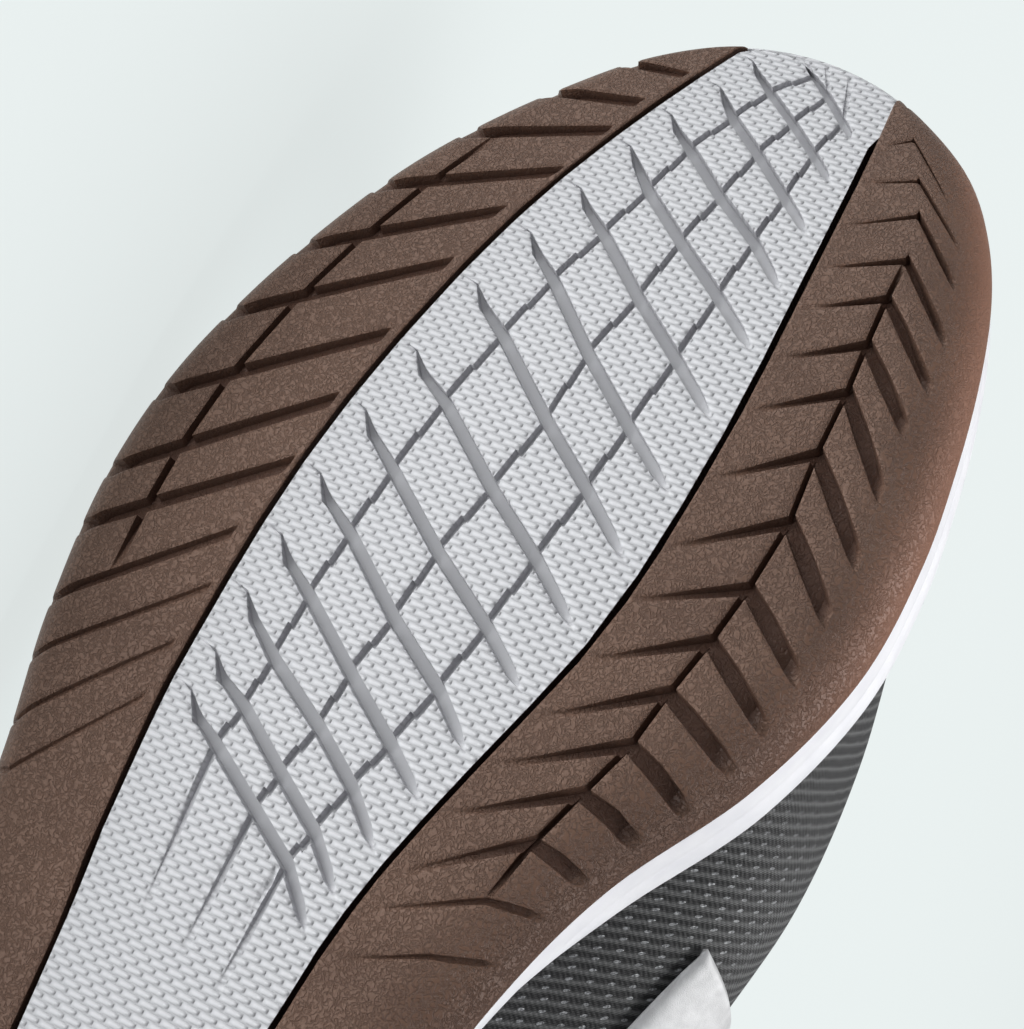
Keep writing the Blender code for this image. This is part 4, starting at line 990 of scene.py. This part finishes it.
# hollow shell: up the outer face, over the rolled edge and down the inner one; flex creases are soft
# troughs across the toe box with a low ridge on each side
def upper():
    turn = allRound(upperLook["columns"])[None, :]
    tOut = np.linspace(0.0, 1.0, upperLook["rows"])[:, None]
    outer = shell(turn + 0 * tOut, tOut + 0 * turn)
    relief = np.zeros(outer.shape[:2])
    for x, half, depth in upperLook["creases"]:
        away = (outer[..., 0] - x - 2.5 * np.sin(outer[..., 1] / 9.0)) / half
        toeBox = smooth(0.38, 0.62, tOut) * (1 - smooth(0.86, 0.97, tOut))
        relief -= depth * (1 - away**2) * np.exp(-away**2) * toeBox
    outer = shell(turn + 0 * tOut, tOut + 0 * turn, relief)
    tIn = np.linspace(1.0, 0.0, upperLook["innerRows"])[:, None]
    inner = shell(turn + 0 * tIn, tIn + 0 * turn, -shoe["wall"])
    rim = []
    for angle in np.radians((45.0, 90.0, 135.0)):
        side = shell(turn[0], 1.0, -shoe["wall"] * (1 - np.cos(angle)) / 2)
        up = unit(shell(turn[0], 1.0) - shell(turn[0], nearTop))
        rim.append(side + up * np.sin(angle) * upperLook["rimRise"])
    points = np.concatenate([outer, np.array(rim), inner])
    rows, columns = points.shape[:2]
    run = np.cumsum(np.linalg.norm(np.diff(points, axis=0, prepend=points[:1]), axis=-1), axis=0)
    uv = np.stack([points[..., 0], run], -1)
    glint = np.zeros((rows, columns))
    glint[:upperLook["rows"]] = (1 - smooth(0.16, upperLook["glintTop"], tOut)) * smooth(0.01, 0.03, tOut)
    glint *= 1 - smooth(172, 196, points[..., 0])
    piece = addMesh("upperShell", points, gridFaces(rows, columns, True, True), meshCloth, {"glint": glint}, uv)
    piece.data.materials.append(lining)
    index = np.repeat((np.arange(rows) >= upperLook["rows"] + 1).astype(np.int32), columns)
    piece.data.polygons.foreach_set("material_index", index)
    return finishPiece(piece, "black_mesh", "upper")


upper()
print("upper made")


# an overlay: the upper's face between two edges, raised by its thickness, with a rounded rim
def overlay(name, node, slot, material, turns, low, high, rows, gap, thick, wide):
    share = np.linspace(0, 1, rows)[:, None]
    bottom, top = low(turns)[None, :], high(turns)[None, :]
    t = bottom + (top - bottom) * share
    flat = shell(turns[None, :] + 0 * t, t, gap + thick)
    run = np.cumsum(np.linalg.norm(np.diff(flat, axis=0, prepend=flat[:1]), axis=-1), axis=0)
    side = np.cumsum(np.linalg.norm(np.diff(flat, axis=1, prepend=flat[:, :1]), axis=-1), axis=1)
    edge = np.minimum(np.minimum(run, run[-1:] - run), np.minimum(side, side[:, -1:] - side))
    rounded = np.sqrt(np.clip(1 - (1 - np.clip(edge / wide, 0, 1)) ** 2, 0, 1))
    points = shell(turns[None, :] + 0 * t, t, gap + thick * (skin["rim"] + (1 - skin["rim"]) * rounded))
    piece = addMesh(name, points, gridFaces(rows, len(turns)), material, None, np.stack([side, run], -1))
    wall = piece.modifiers.new("thickness", "SOLIDIFY")
    wall.thickness = (thick * skin["back"] + gap) / 1000.0
    wall.offset = -1.0
    return finishPiece(piece, slot, node)


# the overlays' gaps and thicknesses in millimetres, then shares of the thickness at the rim and at the back
skin = {"gap": 0.45, "thick": 1.1, "cuff": 3.0, "tab": 1.6, "panelGap": 0.7, "rim": 0.35, "back": 0.30}
flat = lambda value: (lambda a: value + 0 * a)
guardTop = lambda a: 0.30 - 0.17 * smooth(8, 50, np.abs(a))
counterTop = lambda a: 0.62 - 0.34 * smooth(10, 50, np.abs(a - 180))
stayLow = lambda a: 0.80 + 0.05 * smooth(15, 40, np.abs(a))
panelLow = lambda first: (lambda a: first + 0.10 * smooth(90, 110, np.abs(a)))
panelTop = lambda a: 0.62 + 0.14 * smooth(70, 90, np.abs(a))
black, white = ("black_overlay", blackSkin), ("white_overlay", whiteSkin)
# name, node, slot and material, first and last turn and count, lower and upper edge, rows, gap, thickness, rim
for row in (
        ("toeGuard", "toe_guard", black, (-50, 50, 161), flat(0.02), guardTop, 24, "gap", "thick", 0.8),
        ("heelCounter", "heel_counter", black, (130, 230, 161), flat(0.02), counterTop, 32,
         "gap", "thick", 0.8),
        ("eyeStay", "eyestay", black, (-90, 90, 241), stayLow, flat(nearTop), 14, "gap", "thick", 0.8),
        ("sidePanelInner", "side_panel_inner", white, (80, 110, 121), panelLow(0.14), panelTop, 48,
         "panelGap", "thick", 0.8),
        ("sidePanelOuter", "side_panel_outer", white, (-110, -70, 121), panelLow(0.10), panelTop, 48,
         "panelGap", "thick", 0.8),
        ("collarCuff", "collar_cuff", ("lining", cuffKnit), (100, 260, 241), flat(0.84), flat(nearTop), 16,
         "gap", "cuff", 3.6),
        ("heelTab", "heel_tab", black, (175, 185, 17), flat(0.65), flat(0.82), 12, "gap", "tab", 0.8)):
    piece = overlay(*row[:2], *row[2], np.linspace(*row[3]), *row[4:7], skin[row[7]], skin[row[8]], row[9])
    row[0] == "collarCuff"
print("overlays made")


stitchPlan = {"pitch": 2.6, "long": 1.9, "thick": 0.32, "above": 0.12}


# rows of short threads along lines on the upper: each a six-sided bead stretched along its line
def stitches(name, lines):
    ring, blocks, pitch = np.radians(np.arange(0, 360, 60)), [], stitchPlan["pitch"]
    for line in lines:
        run = np.concatenate([[0.0], np.cumsum(np.linalg.norm(np.diff(line, axis=0), axis=1))])
        at = np.arange(pitch / 2, run[-1] - pitch / 2, pitch)
        middle, after = (np.stack([np.interp(place, run, line[:, k]) for k in range(3)], -1)
                         for place in (at, at + 0.5))
        ahead = unit(after - middle)
        side = unit(np.cross(ahead, (0.31, 0.17, 0.93)))
        up = np.cross(side, ahead)
        bead = side[:, None] * np.cos(ring)[None, :, None] + up[:, None] * np.sin(ring)[None, :, None]
        blocks.append(np.stack([
            (middle + ahead * stitchPlan["long"] * place)[:, None] + bead * stitchPlan["thick"] * radius
            for place, radius in ((-0.5, 0.25), (-0.3, 1.0), (0.3, 1.0), (0.5, 0.25))], axis=1).reshape(-1, 3))
    points = np.concatenate(blocks)
    piece = addMesh(name, points, manyTubes(len(points) // 24, 4, 6), stitchThread, None, points[:, :2])
    return finishPiece(piece, "black_overlay")


above = skin["gap"] + skin["thick"] + stitchPlan["above"]
stitches("stitching", [
    shell(turns, row(turns) + shift, above) for turns, row, shift in (
        (np.linspace(-47, 47, 200), guardTop, -0.022), (np.linspace(133, 227, 200), counterTop, -0.022),
        (np.linspace(-87, 87, 300), stayLow, 0.018), (np.linspace(-87, 87, 300), stayLow, 0.040))])
print("stitching made")

tonguePlan = {"thick": 4.5, "crown": 0.03, "stations": 60, "past": 15.6, "edge": 1.4}


# tongue: under the throat's edges with a crown between them, then straight on past the collar
def tongue():
    turns = np.linspace(18, 90, tonguePlan["stations"])
    flap = np.linspace(0.84, 1.0, 10)
    down = -(shoe["wall"] + 0.6)
    inner = shell(turns[:, None] + 0 * flap, flap + 0 * turns[:, None], down)
    outer = shell(-turns[:, None] + 0 * flap, flap[::-1] + 0 * turns[:, None], down)
    crown = tonguePlan["crown"] * shoe["ballWidth"] * smooth(20, 60, turns)
    s = np.linspace(0, 1, 18)[1:-1]
    bridge = inner[:, -1:] * (1 - s)[None, :, None] + outer[:, :1] * s[None, :, None]
    bridge[..., 2] += crown[:, None] * (1 - (2 * s - 1) ** 4)[None, :]
    rows = np.concatenate([inner, bridge, outer], axis=1)
    lift = unit((rows[-1] - rows[-16]).mean(axis=0))
    centre = rows[-1].mean(axis=0)
    extra = []
    for reach in np.linspace(0, 1, 16)[1:]:
        narrow = 1 - 0.16 * smooth(0, 0.3, reach) - 0.34 * smooth(0.55, 1.0, reach) ** 2
        drawnIn = (rows[-1] - centre) * np.array([1.0, narrow, 1.0])
        extra.append(centre + drawnIn + lift * tonguePlan["past"] * reach)
    points = np.concatenate([rows, np.array(extra)])
    piece = addMesh("tongueFlap", points, gridFaces(*points.shape[:2]), cuffKnit, None, points[..., :2])
    wall = piece.modifiers.new("padding", "SOLIDIFY")
    wall.thickness = tonguePlan["thick"] / 1000.0
    wall.offset = -1.0
    soft = piece.modifiers.new("edges", "BEVEL")
    soft.width, soft.segments, soft.limit_method = tonguePlan["edge"] / 1000.0, 3, "ANGLE"
    return finishPiece(piece, "lining", "tongue")


tongue()

lacePlan = {"wide": 6.0, "thick": 1.7, "eyelets": (44.0, 57.0, 67.0, 76.0, 84.0), "row": 0.91, "above": 0.6}


# one flat lace from the outer eyelet at one turn to the inner one at another, over the tongue
def laceStrip(start, end, weave):
    lift = skin["gap"] + skin["thick"] + lacePlan["above"] + lacePlan["thick"] / 2
    shares = np.array([0.0, 0.12, 0.24, 0.76, 0.88, 1.0])
    walls = np.array([lacePlan["row"], 0.95, 1.0, 1.0, 0.95, lacePlan["row"]])
    side = np.where(shares < 0.5, -1.0, 1.0)
    places = shell(side * (start + (end - start) * shares), walls, lift)
    normals = shell(side * (start + (end - start) * shares), walls, lift + 1.0) - places
    rise = tonguePlan["crown"] * shoe["ballWidth"] * float(smooth(20, 60, (start + end) / 2))
    crown = np.array([0.0, 0.0, rise])
    middle = (places[2] + places[3]) / 2 + crown + np.array([0.0, 0.0, weave])
    near, far = (places[2] + middle) / 2 + crown * 0.35, (places[3] + middle) / 2 + crown * 0.35
    top = (normals[2] + normals[3]) / 2
    knots = np.concatenate([places[:3], [near, middle, far], places[3:]])
    ways = np.concatenate([normals[:3], [top, top, top], normals[3:]])
    s, fine = np.arange(9.0), np.linspace(0, 8, 49)
    line = np.stack([through(s, knots[:, k], fine) for k in range(3)], -1)
    way = unit(np.stack([through(s, ways[:, k], fine) for k in range(3)], -1))
    across = unit(np.cross(np.gradient(line, axis=0), way))
    ring = np.radians(np.arange(0, 360, 30))
    flatX, flatY = (np.sign(part) * np.abs(part) ** 0.6 * size / 2
                    for part, size in ((np.cos(ring), lacePlan["wide"]), (np.sin(ring), lacePlan["thick"])))
    return line[:, None] + across[:, None] * flatX[None, :, None] + way[:, None] * flatY[None, :, None]


def laces():
    strips = [laceStrip(lacePlan["eyelets"][0], lacePlan["eyelets"][0], 0.0)]
    for k, (first, second) in enumerate(zip(lacePlan["eyelets"], lacePlan["eyelets"][1:])):
        strips += [laceStrip(first, second, 0.7), laceStrip(second, first, -0.5)]
    points = np.stack(strips)
    count, rows, columns = points.shape[:3]
    along = np.broadcast_to(np.arange(rows)[None, :, None] * 0.9, points.shape[:3])
    around = np.broadcast_to(np.arange(columns)[None, None, :] * 1.1, points.shape[:3])
    faces = manyTubes(count, rows, columns)
    piece = addMesh("laceBars", points, faces, laceWeave, None, np.stack([along, around], -1))
    return finishPiece(piece, "lace", "laces")


eyeletPlan = {"row": 0.885, "radius": 2.3, "roll": 0.7, "high": 0.5}


# eyelets: small rolled rings on the eyestay
def eyelets():
    points, lift = [], skin["gap"] + skin["thick"]
    big, small = np.radians(np.arange(0, 360, 20)), np.radians(np.arange(0, 360, 45))
    radius = (eyeletPlan["radius"] + eyeletPlan["roll"] * np.cos(small))[None, :]
    for turn in [side * a for a in lacePlan["eyelets"] for side in (-1.0, 1.0)]:
        middle = shell(turn, eyeletPlan["row"], lift)
        up = shell(turn, eyeletPlan["row"], lift + 1.0) - middle
        side = unit(np.cross(up, (1.0, 0.0, 0.0)))
        flatRing = (side * (np.cos(big)[:, None] * radius)[..., None]
                    + np.cross(side, up) * (np.sin(big)[:, None] * radius)[..., None])
        points.append(middle + flatRing + up * (eyeletPlan["high"] * np.sin(small))[None, :, None])
    block = np.array(points).reshape(-1, 3)
    faces = manyTubes(len(points), len(big), len(small), True)
    piece = addMesh("eyelets", block, faces, blackSkin, None, block[:, :2])
    return finishPiece(piece, "black_overlay")


laces()
eyelets()
print("tongue and laces made")

studio = {
    "floor": (0.12, 0.13, 0.13),
    "glow": (0.80, 0.852, 0.845),
    "glowPower": 0.87,
    "keyPower": 0.64,
    "fillPower": 0.8,
    "topPower": 22.0,
    "world": 0.10,
    "floorHalf": 30.0,  # metres
    "floorLevel": -0.0002,
}


def addLight(name, place, aim, size, power):
    light = bpy.data.lights.new(name, "AREA")
    light.shape, light.energy = "RECTANGLE", power
    light.size, light.size_y = size
    lamp = bpy.data.objects.new(name, light)
    bpy.context.scene.collection.objects.link(lamp)
    lamp.location = place
    lamp.rotation_euler = (Vector(aim) - Vector(place)).to_track_quat("-Z", "Y").to_euler()
    lamp.visible_camera = False


# a softly glowing floor, a low lamp lying on it in front of the sole, and weak large lamps in front and above
def studioSet():
    look = Look("paleFloor", {"Base Color": studio["floor"], "Roughness": 0.9, "Specular IOR Level": 0.0,
                              "Emission Color": studio["glow"], "Emission Strength": studio["glowPower"]})
    mesh = bpy.data.meshes.new("floor")
    far, level = studio["floorHalf"], studio["floorLevel"]
    corners = [(a * far, b * far, level) for a, b in ((-1, -1), (1, -1), (1, 1), (-1, 1))]
    mesh.from_pydata(corners, [], [(0, 1, 2, 3)])
    mesh.materials.append(look.made)
    floor = bpy.data.objects.new("floor", mesh)
    bpy.context.scene.collection.objects.link(floor)
    addLight("lowKey", (-0.20, -0.19, 0.002), (-0.20, -0.19, 1.0), (0.60, 0.22), studio["keyPower"])
    addLight("frontFill", (-0.35, -1.2, 0.5), (-0.05, 0.0, 0.05), (1.0, 0.9), studio["fillPower"])
    addLight("topSoft", (-0.1, 0.28, 1.3), (-0.1, 0.28, 0.0), (1.6, 0.8), studio["topPower"])
    world = bpy.data.worlds.new("studioAir")
    world.use_nodes = True
    world.node_tree.nodes["Background"].inputs[0].default_value = (0.94, 0.97, 1.0, 1.0)
    world.node_tree.nodes["Background"].inputs[1].default_value = studio["world"]
    bpy.context.scene.world = world
    bpy.context.scene.view_settings.view_transform = "Standard"


# the camera is set in the shoe's frame: aim, way back from it, roll from the toe, distance and lens in mm
cameraPlan = {"aim": (203.0, 5.0, 3.0), "back": (-0.3, 0.45, -0.9), "roll": 31.0, "far": 300.0, "lens": 80.0}


def photoCamera():
    back = unit(np.array(cameraPlan["back"]))
    ahead = -back
    toe = unit(np.array([1.0, 0.0, 0.0]) - ahead * ahead[0])
    side = np.cross(ahead, toe)
    roll = np.radians(cameraPlan["roll"])
    up = np.cos(roll) * toe - np.sin(roll) * side
    right = np.cross(ahead, up)
    place = toFloor(np.array(cameraPlan["aim"]) + cameraPlan["far"] * back)
    axes = [toFloor(axis, False) for axis in (right, up, back)]
    lens = bpy.data.cameras.new("photoCamera")
    lens.lens, lens.sensor_width, lens.clip_start, lens.clip_end = cameraPlan["lens"], 36.0, 0.01, 100.0
    camera = bpy.data.objects.new("photoCamera", lens)
    bpy.context.scene.collection.objects.link(camera)
    turned = [[axes[c][r] for c in range(3)] + [place[r]] for r in range(3)]
    camera.matrix_world = Matrix(turned + [[0, 0, 0, 1]])
    bpy.context.scene.camera = camera


studioSet()
photoCamera()
print("studio and camera set")

bpy.context.view_layer.update()
